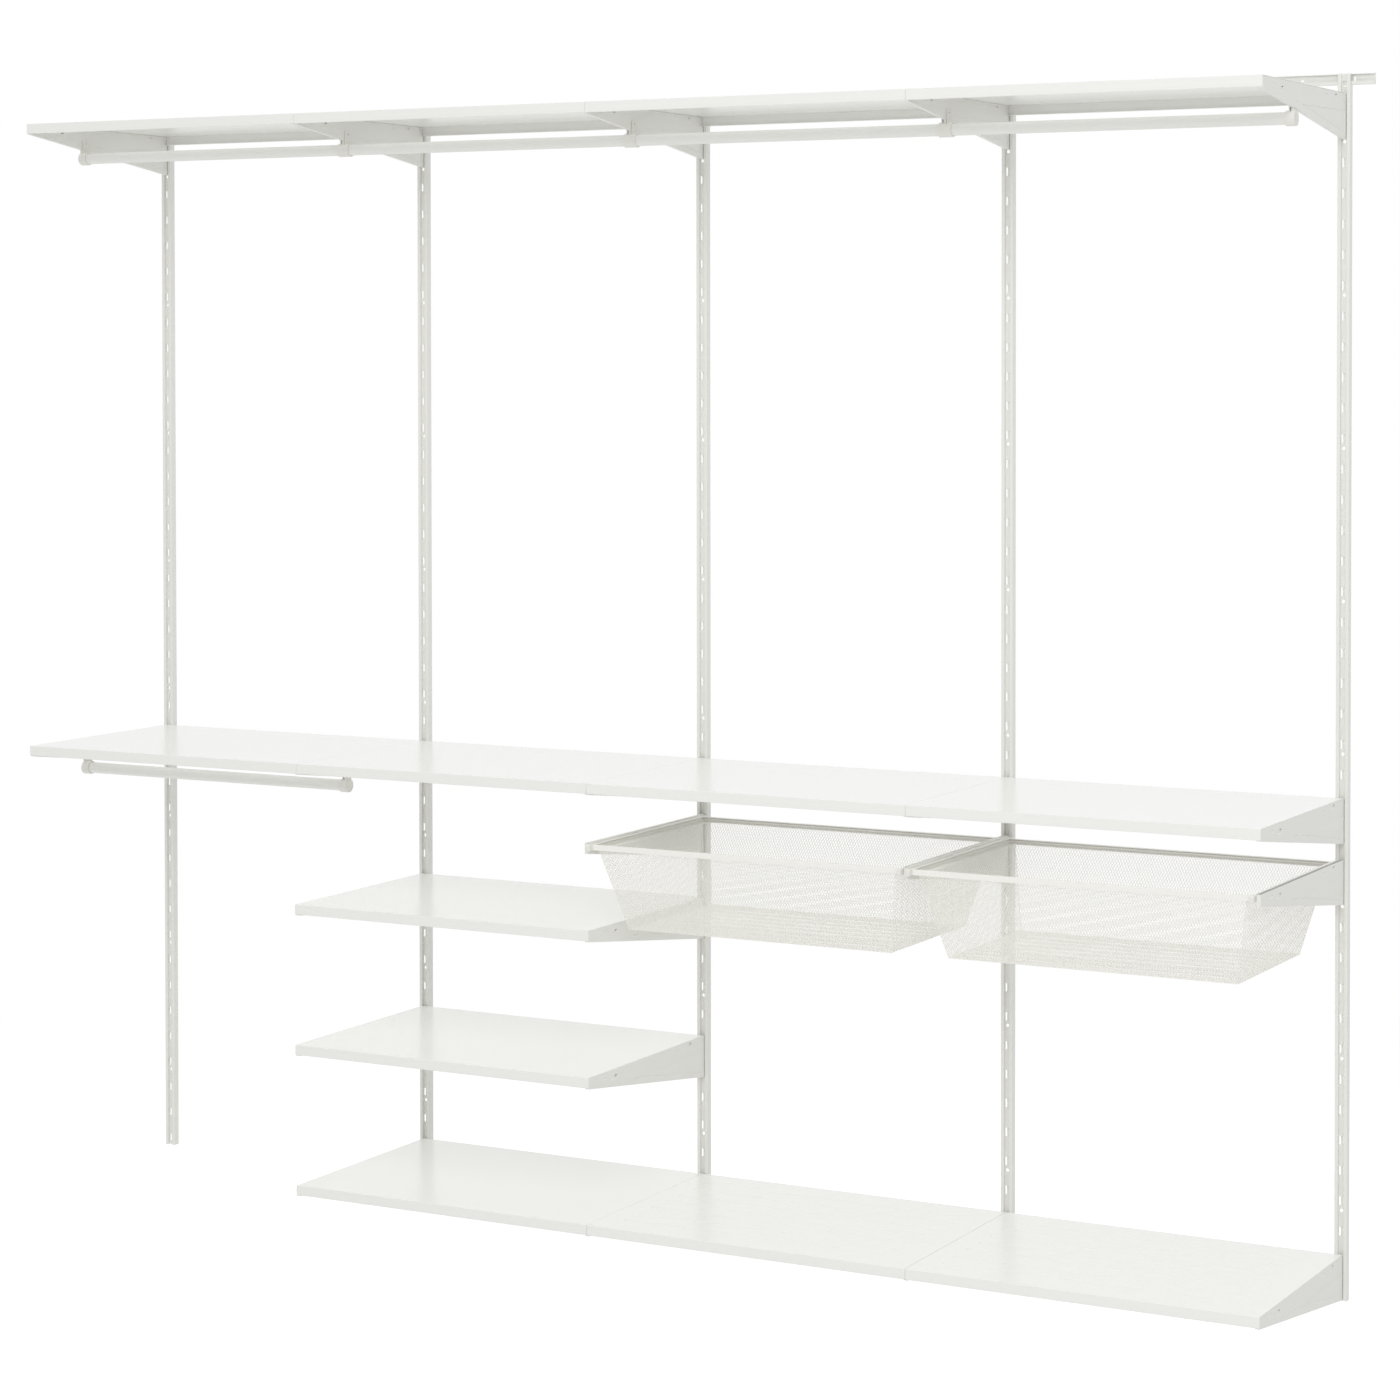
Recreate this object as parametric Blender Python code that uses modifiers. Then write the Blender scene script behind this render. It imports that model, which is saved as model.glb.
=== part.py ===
"""Wall mounted closet system: suspension rails, slotted uprights, hook-in brackets, folded
steel shelves, clothes tubes and two mesh baskets that slide on runners.

Frame: X runs along the wall, the wall is the plane Y = 0 and the room is at negative Y,
Z is up.  The origin is on the wall, at the middle height of the suspension rail, on the
centre line of the left-hand upright.  Lengths are in metres.
"""
import math

import bmesh
import bpy
from mathutils import Matrix

OBJECT_NAME = "wall_mounted_closet_system"

# The whole system
SECTIONS = 4                 # spaces between the uprights
SECTION_PITCH = 0.600        # centre of one upright to the centre of the next
CLEARANCE = 0.0003           # fitted gap between neighbouring pieces
OVERRUN = 0.004              # how far a cut runs past the face that it opens

# Suspension rail: a lipped channel, hung on the wall in lengths that butt together
RAIL_COUNT = 4
RAIL_OVERHANG = 0.050        # rail end past the centre of the outer upright
RAIL_HEIGHT = 0.018
RAIL_DEPTH = 0.0065
RAIL_SHEET = 0.0012
RAIL_CURL = 0.006            # height of the upturned front edge
RAIL_SLOT_INSET = 0.035      # upright screw slots, from each end
RAIL_SLOT_WIDTH = 0.003
RAIL_SLOT_HEIGHT = 0.0082
RAIL_OVAL_INSET = 0.125      # lying screw slots, from each end
RAIL_OVAL_WIDTH = 0.007
RAIL_OVAL_HEIGHT = 0.004

# Bracket: one folded channel with two hooks on each side plate
BRACKET_WIDTH = 0.0076
BRACKET_SHEET = 0.0012
BRACKET_NOSE = 0.0182        # height of the front end
BRACKET_HEEL = 0.006         # metal below the lower hook
HOOK_DROP = 0.013            # shelf level to the upper slot row
HOOK_RISE = 0.001            # hook above the middle of its slot
HOOK_LOCK = 0.00425          # hook tip below the lower edge of its slot
HOOK_TIP = 0.0033            # hook tip thickness, front to back
EMBOSS_DEPTH = 0.0005        # pressed stiffening triangle on both faces
EMBOSS_SHARES = ((0.0285, 0.375), (0.0285, 0.88), (0.553, 0.434))

# Upright: a hat section with a sunk, slotted floor
UPRIGHT_LENGTH = 2.008
UPRIGHT_SHEET = 0.0012
UPRIGHT_FLANGE = 0.00605     # flat front band at each side of the recess
RECESS_DEPTH = 0.005
RECESS_MARGIN = 0.0003       # slot edge to recess wall
FLOOR_SPACE = 0.0006         # rail front to the back of the sunk floor
SLOT_PITCH = 0.050
SLOT_FIRST = 0.0445          # upright top to the middle of the first slot
SLOT_HEIGHT = 0.0145
SLOT_PLAY = 0.0005           # slot edge to bracket face
SLOT_FOOT = 0.005            # least metal below the last slot
SCREW_HOLE = 0.0065
SCREW_HOLE_DROP = 0.0156     # slot middle to the hole below it
SCREW_HOLE_ROWS = 5          # one screw hole every so many rows
SCREW_HOLE_SIDES = 6
TONGUE_WIDTH = 0.0054
TONGUE_WINDOW_PLAY = 0.0003
TONGUE_WINDOW_DROP = 0.0025  # window below the rail
TONGUE_FOOT = 0.0008         # tongue tip above the rail's bottom lip

# Shelf: a folded sheet whose side lips stand inside the brackets
SHELF_DEPTH = 0.396
SHELF_SHEET = 0.001
SHELF_LIP = 0.018
SHELF_HEM = 0.008
SHELF_SIDE_LIP = 0.012
SHELF_SIDE_LIP_REAR = 0.002  # side lip end to the shelf's back face
SHELF_WALL_SPACE = 0.0007    # upright front to shelf back
LOW_SHELF_SPACING = 0.250    # between the shelves of the tall stack
GROOVES = 7                  # pressed grooves of a shoe shelf
GROOVE_MARGIN = 0.058        # first and last groove to the shelf edge
GROOVE_WIDTH = 0.010
GROOVE_DEPTH = 0.0012
GROOVE_END = 0.040           # groove end to the shelf end
GROOVE_FLOOR_SHARE = 0.6

# Clothes tube and its holders, one or two cups on a neck that enters the bracket
TUBE_DIAMETER = 0.020
TUBE_WALL = 0.0012
TUBE_SETBACK = 0.155         # shelf front to tube centre
TUBE_HANG = 0.0027           # cup below the lower edge of the bracket
TUBE_SIDES = 12
CUP_WALL = 0.00195
CUP_REACH = 0.0125           # bracket centre to cup mouth
NECK_WIDTH = 0.016
NECK_PLAY = 0.001            # neck to the ends of its slot in the bracket
NECK_DROP = 0.024            # neck top below the shelf level
STRAP_WIDTH = 0.018          # strap of a cup, outside the bracket's plate
STRAP_SHEET = 0.0015
STRAP_DROP = 0.022           # strap top below the shelf level
STRAP_HOLE = 0.0034
STRAP_HOLE_INSET = 0.0065    # strap top to the middle of its hole

# Basket: a mesh tub hung in a channel rim that slides on two runners
RUNNER_SHEET = 0.001
RUNNER_LEG = 0.005           # leg inside the bracket
RUNNER_REAR = 0.0027         # runner end to the upright front
RUNNER_GUARD = 0.234         # length of the upper guard
RUNNER_LEDGE_PLAY = 0.0009   # ledge edge to tub wall
RUNNER_STOP = 0.0027         # rear stop to the runner's rear end
RIM_DROP = 0.0037            # rim top below the bracket level
RIM_HEIGHT = 0.009
RIM_WIDTH = 0.0064
RIM_SHEET = 0.001
TUB_SHEET = 0.0012
TUB_DROP = 0.152             # tub bottom below the bracket level
TUB_TAPER_SIDE = 0.0401      # how far each wall leans in, rim to bottom
TUB_TAPER_FRONT = 0.0467
TUB_TAPER_BACK = 0.0445
MESH_MARGIN = 0.012          # plain band round each mesh panel
MESH_BAR = 0.006             # bar between two mesh openings
MESH_FRONT_COLUMNS = 5
MESH_SIDE_COLUMNS = 5
MESH_BOTTOM_ROWS = 2
CAP_LENGTH = 0.0115          # end cap at each front corner of the basket
CAP_RISE = 0.0017            # cap above the rim
CAP_CHAMFER = 0.003

# Sizes that follow
RAIL_TOP = RAIL_HEIGHT / 2
RAIL_BOTTOM = -RAIL_HEIGHT / 2
RAIL_RUN = SECTIONS * SECTION_PITCH + 2 * RAIL_OVERHANG
RAIL_STEP = RAIL_RUN / RAIL_COUNT
SLOT_WIDTH = BRACKET_WIDTH + 2 * SLOT_PLAY
RECESS_WIDTH = SLOT_WIDTH + 2 * RECESS_MARGIN
UPRIGHT_WIDTH = RECESS_WIDTH + 2 * UPRIGHT_FLANGE
FLOOR_BACK = RAIL_DEPTH + FLOOR_SPACE
FLOOR_FRONT = FLOOR_BACK + UPRIGHT_SHEET
UPRIGHT_DEPTH = FLOOR_FRONT + RECESS_DEPTH
TONGUE_BASE = RAIL_BOTTOM + RAIL_CURL + CLEARANCE

SHELF_BACK = UPRIGHT_DEPTH + SHELF_WALL_SPACE
SHELF_FRONT = SHELF_BACK + SHELF_DEPTH
BRACKET_REAR = FLOOR_FRONT + CLEARANCE
BRACKET_FRONT = SHELF_FRONT - SHELF_SHEET - CLEARANCE
BRACKET_TOP_DROP = SHELF_SHEET + CLEARANCE
BRACKET_LENGTH = BRACKET_FRONT - BRACKET_REAR
NOSE_DROP = BRACKET_TOP_DROP + BRACKET_NOSE
BACK_DROP = HOOK_DROP + SLOT_PITCH + SLOT_HEIGHT / 2 - CLEARANCE + BRACKET_HEEL
BRACKET_SLOPE = (BACK_DROP - NOSE_DROP) / BRACKET_LENGTH
BRACKET_INSIDE = BRACKET_WIDTH - 2 * BRACKET_SHEET
BRACKET_HOLLOW_FRONT = BRACKET_FRONT - BRACKET_SHEET
SIDE_SPACE = BRACKET_WIDTH / 2 + CLEARANCE

ROW_SPAN = UPRIGHT_LENGTH - SLOT_FIRST - SLOT_HEIGHT / 2 - SLOT_FOOT
ROWS = int(ROW_SPAN / SLOT_PITCH) + 1
STACK_ROWS = max(1, round(LOW_SHELF_SPACING / SLOT_PITCH))
TOP_ROW = 0
BOTTOM_ROW = ROWS - 2
LOWER_ROW = BOTTOM_ROW - STACK_ROWS
UPPER_ROW = LOWER_ROW - STACK_ROWS
MIDDLE_ROW = UPPER_ROW - STACK_ROWS
BASKET_ROW = MIDDLE_ROW + math.ceil(BACK_DROP / SLOT_PITCH)

TUBE_REACH = SHELF_FRONT - TUBE_SETBACK
TUBE_RADIUS = TUBE_DIAMETER / 2
CUP_BORE = TUBE_RADIUS + CLEARANCE
CUP_RADIUS = CUP_BORE + CUP_WALL
NECK_THICKNESS = BRACKET_INSIDE - 2 * CLEARANCE
BRACKET_LOW_AT_TUBE = NOSE_DROP + (BRACKET_FRONT - TUBE_REACH) * BRACKET_SLOPE
CUP_ROOM = (CUP_RADIUS + CLEARANCE) * math.hypot(1, BRACKET_SLOPE)
TUBE_DROP = BRACKET_LOW_AT_TUBE + CUP_ROOM + TUBE_HANG

RUNNER_FRONT = BRACKET_HOLLOW_FRONT - CLEARANCE
RUNNER_BACK = UPRIGHT_DEPTH + RUNNER_REAR
RUNNER_WEB = SIDE_SPACE + RUNNER_SHEET
RIM_OUTER = RUNNER_WEB + CLEARANCE
RIM_INNER = RIM_OUTER + RIM_WIDTH
RIM_BASE_DROP = RIM_DROP + RIM_HEIGHT
STOP_FRONT = RUNNER_BACK + RUNNER_STOP + RUNNER_SHEET
RIM_BACK = STOP_FRONT + CLEARANCE
TUB_INSET = RIM_WIDTH - RIM_SHEET - CLEARANCE - TUB_SHEET / 2
TUB_SIDE = RIM_OUTER + TUB_INSET
RUNNER_LEDGE = TUB_SIDE - TUB_SHEET / 2 - RUNNER_LEDGE_PLAY
TUB_FRONT = RUNNER_FRONT - TUB_INSET
TUB_BACK = RIM_BACK + TUB_INSET
TUB_EDGE_DROP = RIM_DROP + RIM_SHEET + CLEARANCE
TUB_BEND_DROP = RIM_BASE_DROP + CLEARANCE
TUB_FLOOR_DROP = TUB_DROP - TUB_SHEET / 2
CAP_BACK = RUNNER_FRONT + CLEARANCE

# Planes of the flat outlines: local X and Y are the outline, local Z its thickness
PLAN = Matrix.Identity(4)
SIDE = Matrix.Rotation(math.pi / 2, 4, "Z") @ Matrix.Rotation(math.pi / 2, 4, "X")
FACE = Matrix.Rotation(math.pi / 2, 4, "X")

WHITE = (0.84, 0.84, 0.82)
WARM_WHITE = (0.80, 0.79, 0.76)


def level(row):
    """Height of the shelf level whose brackets hook into this slot row."""
    return RAIL_TOP - SLOT_FIRST - row * SLOT_PITCH + HOOK_DROP


def upright_x(index):
    """Centre line of an upright, counted from 1 at the left."""
    return (index - 1) * SECTION_PITCH


def section_x(index):
    """Middle of a section, counted from 1 at the left."""
    return upright_x(index) + SECTION_PITCH / 2


def clear_scene():
    for item in list(bpy.data.objects):
        bpy.data.objects.remove(item, do_unlink=True)


def new_collection(name):
    group = bpy.data.collections.new(name)
    bpy.context.scene.collection.children.link(group)
    return group


def paint(name, colour, roughness, metallic):
    """A Principled material of its own for one piece."""
    material = bpy.data.materials.new(name)
    material.use_nodes = True
    shader = material.node_tree.nodes["Principled BSDF"]
    shader.inputs["Base Color"].default_value = (*colour, 1)
    shader.inputs["Roughness"].default_value = roughness
    shader.inputs["Metallic"].default_value = metallic
    material.diffuse_color = (*colour, 1)
    return material


def new_object(name, mesh, group):
    item = bpy.data.objects.new(name, mesh)
    group.objects.link(item)
    return item


def tidy(mesh):
    """Weld loose corners and turn every face outwards."""
    work = bmesh.new()
    work.from_mesh(mesh)
    bmesh.ops.remove_doubles(work, verts=work.verts, dist=CLEARANCE / 100)
    bmesh.ops.recalc_face_normals(work, faces=work.faces)
    work.to_mesh(mesh)
    work.free()
    mesh.update()
    return mesh


def outline_solid(name, loops, thickness, plane, group, centre=(0, 0, 0)):
    """Solid of even thickness from flat outlines; an outline inside another is a hole."""
    curve = bpy.data.curves.new(name, "CURVE")
    curve.dimensions = "2D"
    curve.fill_mode = "BOTH"
    curve.extrude = thickness / 2
    for loop in loops:
        spline = curve.splines.new("POLY")
        spline.points.add(len(loop) - 1)
        for point, (across, up) in zip(spline.points, loop):
            point.co = (across, up, 0, 1)
        spline.use_cyclic_u = True
    flat = new_object(name + "_outline", curve, group)
    flat.matrix_world = Matrix.Translation(centre) @ plane
    bpy.context.view_layer.update()
    seen = flat.evaluated_get(bpy.context.evaluated_depsgraph_get())
    mesh = tidy(bpy.data.meshes.new_from_object(seen))
    solid = new_object(name, mesh, group)
    solid.matrix_world = flat.matrix_world
    bpy.data.objects.remove(flat, do_unlink=True)
    bpy.data.curves.remove(curve)
    return solid


def box_solid(name, spans, group):
    """Rectangular blocks, each between a low and a high corner."""
    work = bmesh.new()
    for low, high in spans:
        size = [b - a for a, b in zip(low, high)]
        middle = [(a + b) / 2 for a, b in zip(low, high)]
        place = Matrix.Translation(middle) @ Matrix.Diagonal((*size, 1))
        bmesh.ops.create_cube(work, size=1, matrix=place)
    mesh = bpy.data.meshes.new(name)
    work.to_mesh(mesh)
    work.free()
    return new_object(name, tidy(mesh), group)


def boolean(target, tool, operation):
    change = target.modifiers.new(tool.name, "BOOLEAN")
    change.operation = operation
    change.solver = "EXACT"
    change.object = tool
    tool.hide_render = True
    tool.display_type = "WIRE"


def cut(target, tool):
    boolean(target, tool, "DIFFERENCE")


def join(target, tool):
    boolean(target, tool, "UNION")


def finished_mesh(item):
    """The piece with its modifiers carried out, in the object's own frame."""
    bpy.context.view_layer.update()
    seen = item.evaluated_get(bpy.context.evaluated_depsgraph_get())
    mesh = bpy.data.meshes.new_from_object(seen)
    mesh.transform(item.matrix_world)
    bpy.data.objects.remove(item, do_unlink=True)
    return tidy(mesh)


def rectangle(low_x, low_y, high_x, high_y):
    return [(low_x, low_y), (high_x, low_y), (high_x, high_y), (low_x, high_y)]


def ellipse(centre_x, centre_y, half_x, half_y, sides):
    """Regular outline with a flat at the top, so that it sits square."""
    turn = [2 * math.pi * (i + 1 / 2) / sides for i in range(sides)]
    return [(centre_x + half_x * math.sin(a), centre_y + half_y * math.cos(a)) for a in turn]


def diamond(centre_x, centre_y, half_x, half_y):
    return [(centre_x - half_x, centre_y), (centre_x, centre_y - half_y),
            (centre_x + half_x, centre_y), (centre_x, centre_y + half_y)]


def make_rail(tools):
    """Channel with a short top lip and an upturned bottom edge, screw slots in its back."""
    sheet = RAIL_SHEET
    section = [(0, RAIL_BOTTOM), (0, RAIL_TOP), (-RAIL_DEPTH, RAIL_TOP),
               (-RAIL_DEPTH, RAIL_TOP - sheet), (-sheet, RAIL_TOP - sheet),
               (-sheet, RAIL_BOTTOM + sheet), (-RAIL_DEPTH + sheet, RAIL_BOTTOM + sheet),
               (-RAIL_DEPTH + sheet, RAIL_BOTTOM + RAIL_CURL),
               (-RAIL_DEPTH, RAIL_BOTTOM + RAIL_CURL), (-RAIL_DEPTH, RAIL_BOTTOM)]
    length = RAIL_STEP - CLEARANCE
    rail = outline_solid("rail", [section], length, SIDE, tools)
    slots = []
    for end in (-1, 1):
        slot_x = end * (length / 2 - RAIL_SLOT_INSET)
        oval_x = end * (length / 2 - RAIL_OVAL_INSET)
        slots.append(rectangle(slot_x - RAIL_SLOT_WIDTH / 2, -RAIL_SLOT_HEIGHT / 2,
                               slot_x + RAIL_SLOT_WIDTH / 2, RAIL_SLOT_HEIGHT / 2))
        slots.append(ellipse(oval_x, 0, RAIL_OVAL_WIDTH / 2, RAIL_OVAL_HEIGHT / 2,
                             SCREW_HOLE_SIDES))
    cutter = outline_solid("rail_screw_slots", slots, 2 * sheet + OVERRUN, FACE, tools)
    cut(rail, cutter)
    return finished_mesh(rail)


def make_upright(tools):
    """Hat section with a row of slots, screw holes and a tongue that hooks on the rail."""
    sheet = UPRIGHT_SHEET
    outer, recess = UPRIGHT_WIDTH / 2, RECESS_WIDTH / 2
    half = [(recess, -FLOOR_FRONT), (recess, -UPRIGHT_DEPTH), (outer, -UPRIGHT_DEPTH),
            (outer, 0), (outer - sheet, 0), (outer - sheet, -UPRIGHT_DEPTH + sheet),
            (recess + sheet, -UPRIGHT_DEPTH + sheet), (recess + sheet, -FLOOR_BACK)]
    section = half + [(-x, y) for x, y in reversed(half)]
    middle = RAIL_TOP - UPRIGHT_LENGTH / 2
    upright = outline_solid("upright", [section], UPRIGHT_LENGTH, PLAN, tools, (0, 0, middle))

    openings = []
    for row in range(ROWS):
        height = RAIL_TOP - SLOT_FIRST - row * SLOT_PITCH
        openings.append(rectangle(-SLOT_WIDTH / 2, height - SLOT_HEIGHT / 2,
                                  SLOT_WIDTH / 2, height + SLOT_HEIGHT / 2))
        if row % SCREW_HOLE_ROWS == 1:
            openings.append(ellipse(0, height - SCREW_HOLE_DROP, SCREW_HOLE / 2,
                                    SCREW_HOLE / 2, SCREW_HOLE_SIDES))
    window = TONGUE_WIDTH / 2 + TONGUE_WINDOW_PLAY
    openings.append(rectangle(-window, RAIL_BOTTOM - TONGUE_WINDOW_DROP, window, TONGUE_BASE))
    floor_middle = -(FLOOR_FRONT + FLOOR_BACK) / 2
    slots = outline_solid("upright_slots", openings, sheet + OVERRUN, FACE, tools,
                          (0, floor_middle, 0))
    cut(upright, slots)

    notch = box_solid("upright_rail_notch", [(
        (-outer - OVERRUN, -RAIL_DEPTH - CLEARANCE, RAIL_BOTTOM - CLEARANCE),
        (outer + OVERRUN, OVERRUN, RAIL_TOP + OVERRUN))], tools)
    cut(upright, notch)

    hook_front = -RAIL_DEPTH + RAIL_SHEET + CLEARANCE
    hook_back = hook_front + sheet
    tip = RAIL_BOTTOM + RAIL_SHEET + TONGUE_FOOT
    shape = [(floor_middle, TONGUE_BASE), (floor_middle, TONGUE_BASE + sheet),
             (hook_back, TONGUE_BASE + sheet), (hook_back, tip), (hook_front, tip),
             (hook_front, TONGUE_BASE)]
    tongue = outline_solid("upright_tongue", [shape], TONGUE_WIDTH, SIDE, tools)
    join(upright, tongue)
    return finished_mesh(upright)


def bracket_low(reach):
    """Lower edge of a bracket, as a drop below the shelf level, this far from the wall."""
    return NOSE_DROP + (BRACKET_FRONT - reach) * BRACKET_SLOPE


def make_bracket(tools):
    """Folded channel: two side plates with hooks, a sloping web and a front flap."""
    shape = [(-BRACKET_FRONT, -NOSE_DROP), (-BRACKET_FRONT, -BRACKET_TOP_DROP),
             (-BRACKET_REAR, -BRACKET_TOP_DROP)]
    throat = -FLOOR_BACK + CLEARANCE
    tip = throat + HOOK_TIP
    for row in range(2):
        middle = -HOOK_DROP - row * SLOT_PITCH
        seat = middle - SLOT_HEIGHT / 2 + CLEARANCE
        lock = middle - SLOT_HEIGHT / 2 - HOOK_LOCK
        shape += [(-BRACKET_REAR, middle + HOOK_RISE), (tip, middle + HOOK_RISE), (tip, lock),
                  (throat, lock), (throat, seat), (-BRACKET_REAR, seat)]
    shape.append((-BRACKET_REAR, -BACK_DROP))
    bracket = outline_solid("bracket", [shape], BRACKET_WIDTH, SIDE, tools)

    web = BRACKET_SHEET * math.hypot(1, BRACKET_SLOPE)
    past = tip + OVERRUN
    slot_front = TUBE_REACH + NECK_WIDTH / 2 + NECK_PLAY
    slot_back = TUBE_REACH - NECK_WIDTH / 2 - NECK_PLAY
    hollow = [(-BRACKET_HOLLOW_FRONT, OVERRUN), (past, OVERRUN),
              (past, web - bracket_low(-past)), (-slot_back, web - bracket_low(slot_back)),
              (-slot_back, -OVERRUN - bracket_low(slot_back)),
              (-slot_front, -OVERRUN - bracket_low(slot_front)),
              (-slot_front, web - bracket_low(slot_front)),
              (-BRACKET_HOLLOW_FRONT, web - bracket_low(BRACKET_HOLLOW_FRONT))]
    inside = outline_solid("bracket_hollow", [hollow], BRACKET_INSIDE, SIDE, tools)
    cut(bracket, inside)

    triangle = [(-BRACKET_REAR - reach * BRACKET_LENGTH, -drop * BACK_DROP)
                for reach, drop in EMBOSS_SHARES]
    for side in (-1, 1):
        outer = side * (BRACKET_WIDTH / 2 + (OVERRUN - EMBOSS_DEPTH) / 2)
        press = outline_solid("bracket_emboss", [triangle], EMBOSS_DEPTH + OVERRUN, SIDE,
                              tools, (outer, 0, 0))
        cut(bracket, press)
    return finished_mesh(bracket)


def make_shelf(tools, grooved, covered):
    """Folded sheet with front and back lips, and side lips that stand in the brackets.

    Covered ends, left and right, run on over the whole bracket, where no shelf follows.
    """
    sheet, front, back = SHELF_SHEET, -SHELF_FRONT, -SHELF_BACK
    section = [(front, 0), (back, 0), (back, -SHELF_LIP), (back - SHELF_HEM, -SHELF_LIP),
               (back - SHELF_HEM, sheet - SHELF_LIP), (back - sheet, sheet - SHELF_LIP),
               (back - sheet, -sheet), (front + sheet, -sheet),
               (front + sheet, sheet - SHELF_LIP), (front + SHELF_HEM, sheet - SHELF_LIP),
               (front + SHELF_HEM, -SHELF_LIP), (front, -SHELF_LIP)]
    end = SECTION_PITCH / 2 - CLEARANCE
    over = SECTION_PITCH / 2 + BRACKET_WIDTH / 2
    left, right = (over if cover else end for cover in covered)
    shelf = outline_solid("shelf", [section], left + right, SIDE, tools,
                          ((right - left) / 2, 0, 0))

    inner = SECTION_PITCH / 2 - SIDE_SPACE
    relief, lips = [], []
    for side, stop in ((-1, left), (1, right)):
        near, far = sorted((side * inner, side * (stop + OVERRUN)))
        relief.append(((near, front + sheet, -SHELF_LIP - OVERRUN), (far, back + OVERRUN, -sheet)))
        near, far = sorted((side * end, side * (end - sheet)))
        lips.append(((near, -BRACKET_HOLLOW_FRONT + CLEARANCE, -SHELF_SIDE_LIP),
                     (far, back - SHELF_SIDE_LIP_REAR, -sheet / 2)))
    cut(shelf, box_solid("shelf_bracket_relief", relief, tools))
    join(shelf, box_solid("shelf_side_lips", lips, tools))

    if grooved:
        step = (SHELF_DEPTH - 2 * GROOVE_MARGIN) / (GROOVES - 1)
        half, foot = GROOVE_WIDTH / 2, GROOVE_FLOOR_SHARE * GROOVE_WIDTH / 2
        pockets, beads = [], []
        for number in range(GROOVES):
            middle = front + GROOVE_MARGIN + number * step
            pockets.append([(middle - half, 0), (middle - foot, -GROOVE_DEPTH),
                            (middle + foot, -GROOVE_DEPTH), (middle + half, 0),
                            (middle + half, OVERRUN), (middle - half, OVERRUN)])
            beads.append([(middle - half - sheet, -sheet / 2), (middle - half - sheet, -sheet),
                          (middle - foot - sheet, -GROOVE_DEPTH - sheet),
                          (middle + foot + sheet, -GROOVE_DEPTH - sheet),
                          (middle + half + sheet, -sheet), (middle + half + sheet, -sheet / 2)])
        length = 2 * (end - GROOVE_END)
        join(shelf, outline_solid("shelf_beads", beads, length + 2 * sheet, SIDE, tools))
        cut(shelf, outline_solid("shelf_grooves", pockets, length, SIDE, tools))
    return finished_mesh(shelf)


def holder_solid(tools, left, right, at_x):
    """Tube holder: a disc on a neck, with a strapped cup on the left, the right or both."""
    disc = NECK_THICKNESS / 2
    cheek = BRACKET_WIDTH / 2
    start = -CUP_REACH if left else -cheek
    stop = CUP_REACH if right else cheek
    circle = ellipse(0, 0, CUP_RADIUS, CUP_RADIUS, TUBE_SIDES)
    holder = outline_solid("holder", [circle], stop - start, SIDE, tools,
                           (at_x + (start + stop) / 2, 0, 0))
    neck = rectangle(-NECK_WIDTH / 2, 0, NECK_WIDTH / 2, TUBE_DROP - NECK_DROP)
    join(holder, outline_solid("holder_neck", [neck], NECK_THICKNESS, SIDE, tools,
                               (at_x, 0, 0)))
    top = TUBE_DROP - STRAP_DROP
    strap = rectangle(-STRAP_WIDTH / 2, 0, STRAP_WIDTH / 2, top)
    hole = ellipse(0, top - STRAP_HOLE_INSET, STRAP_HOLE / 2, STRAP_HOLE / 2, SCREW_HOLE_SIDES)
    bore = ellipse(0, 0, CUP_BORE, CUP_BORE, TUBE_SIDES)
    for side, wanted in ((-1, left), (1, right)):
        if wanted:
            beside = at_x + side * (SIDE_SPACE + STRAP_SHEET / 2)
            join(holder, outline_solid("holder_strap", [strap, hole], STRAP_SHEET, SIDE, tools,
                                       (beside, 0, 0)))
            depth = CUP_REACH - disc + OVERRUN
            cut(holder, outline_solid("holder_bore", [bore], depth, SIDE, tools,
                                      (at_x + side * (disc + depth / 2), 0, 0)))
    return holder


def make_tube(tools, left_end, right_end):
    """Open-ended round tube, which takes an end holder in one piece where a row ends."""
    face = SECTION_PITCH / 2 - NECK_THICKNESS / 2 - CLEARANCE
    start = -SECTION_PITCH / 2 if left_end else -face
    stop = SECTION_PITCH / 2 if right_end else face
    outer = ellipse(0, 0, TUBE_RADIUS, TUBE_RADIUS, TUBE_SIDES)
    inner = ellipse(0, 0, TUBE_RADIUS - TUBE_WALL, TUBE_RADIUS - TUBE_WALL, TUBE_SIDES)
    tube = outline_solid("tube", [outer, inner], stop - start, SIDE, tools,
                         ((start + stop) / 2, 0, 0))
    if left_end:
        join(tube, holder_solid(tools, False, True, -SECTION_PITCH / 2))
    if right_end:
        join(tube, holder_solid(tools, True, False, SECTION_PITCH / 2))
    return finished_mesh(tube)


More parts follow.
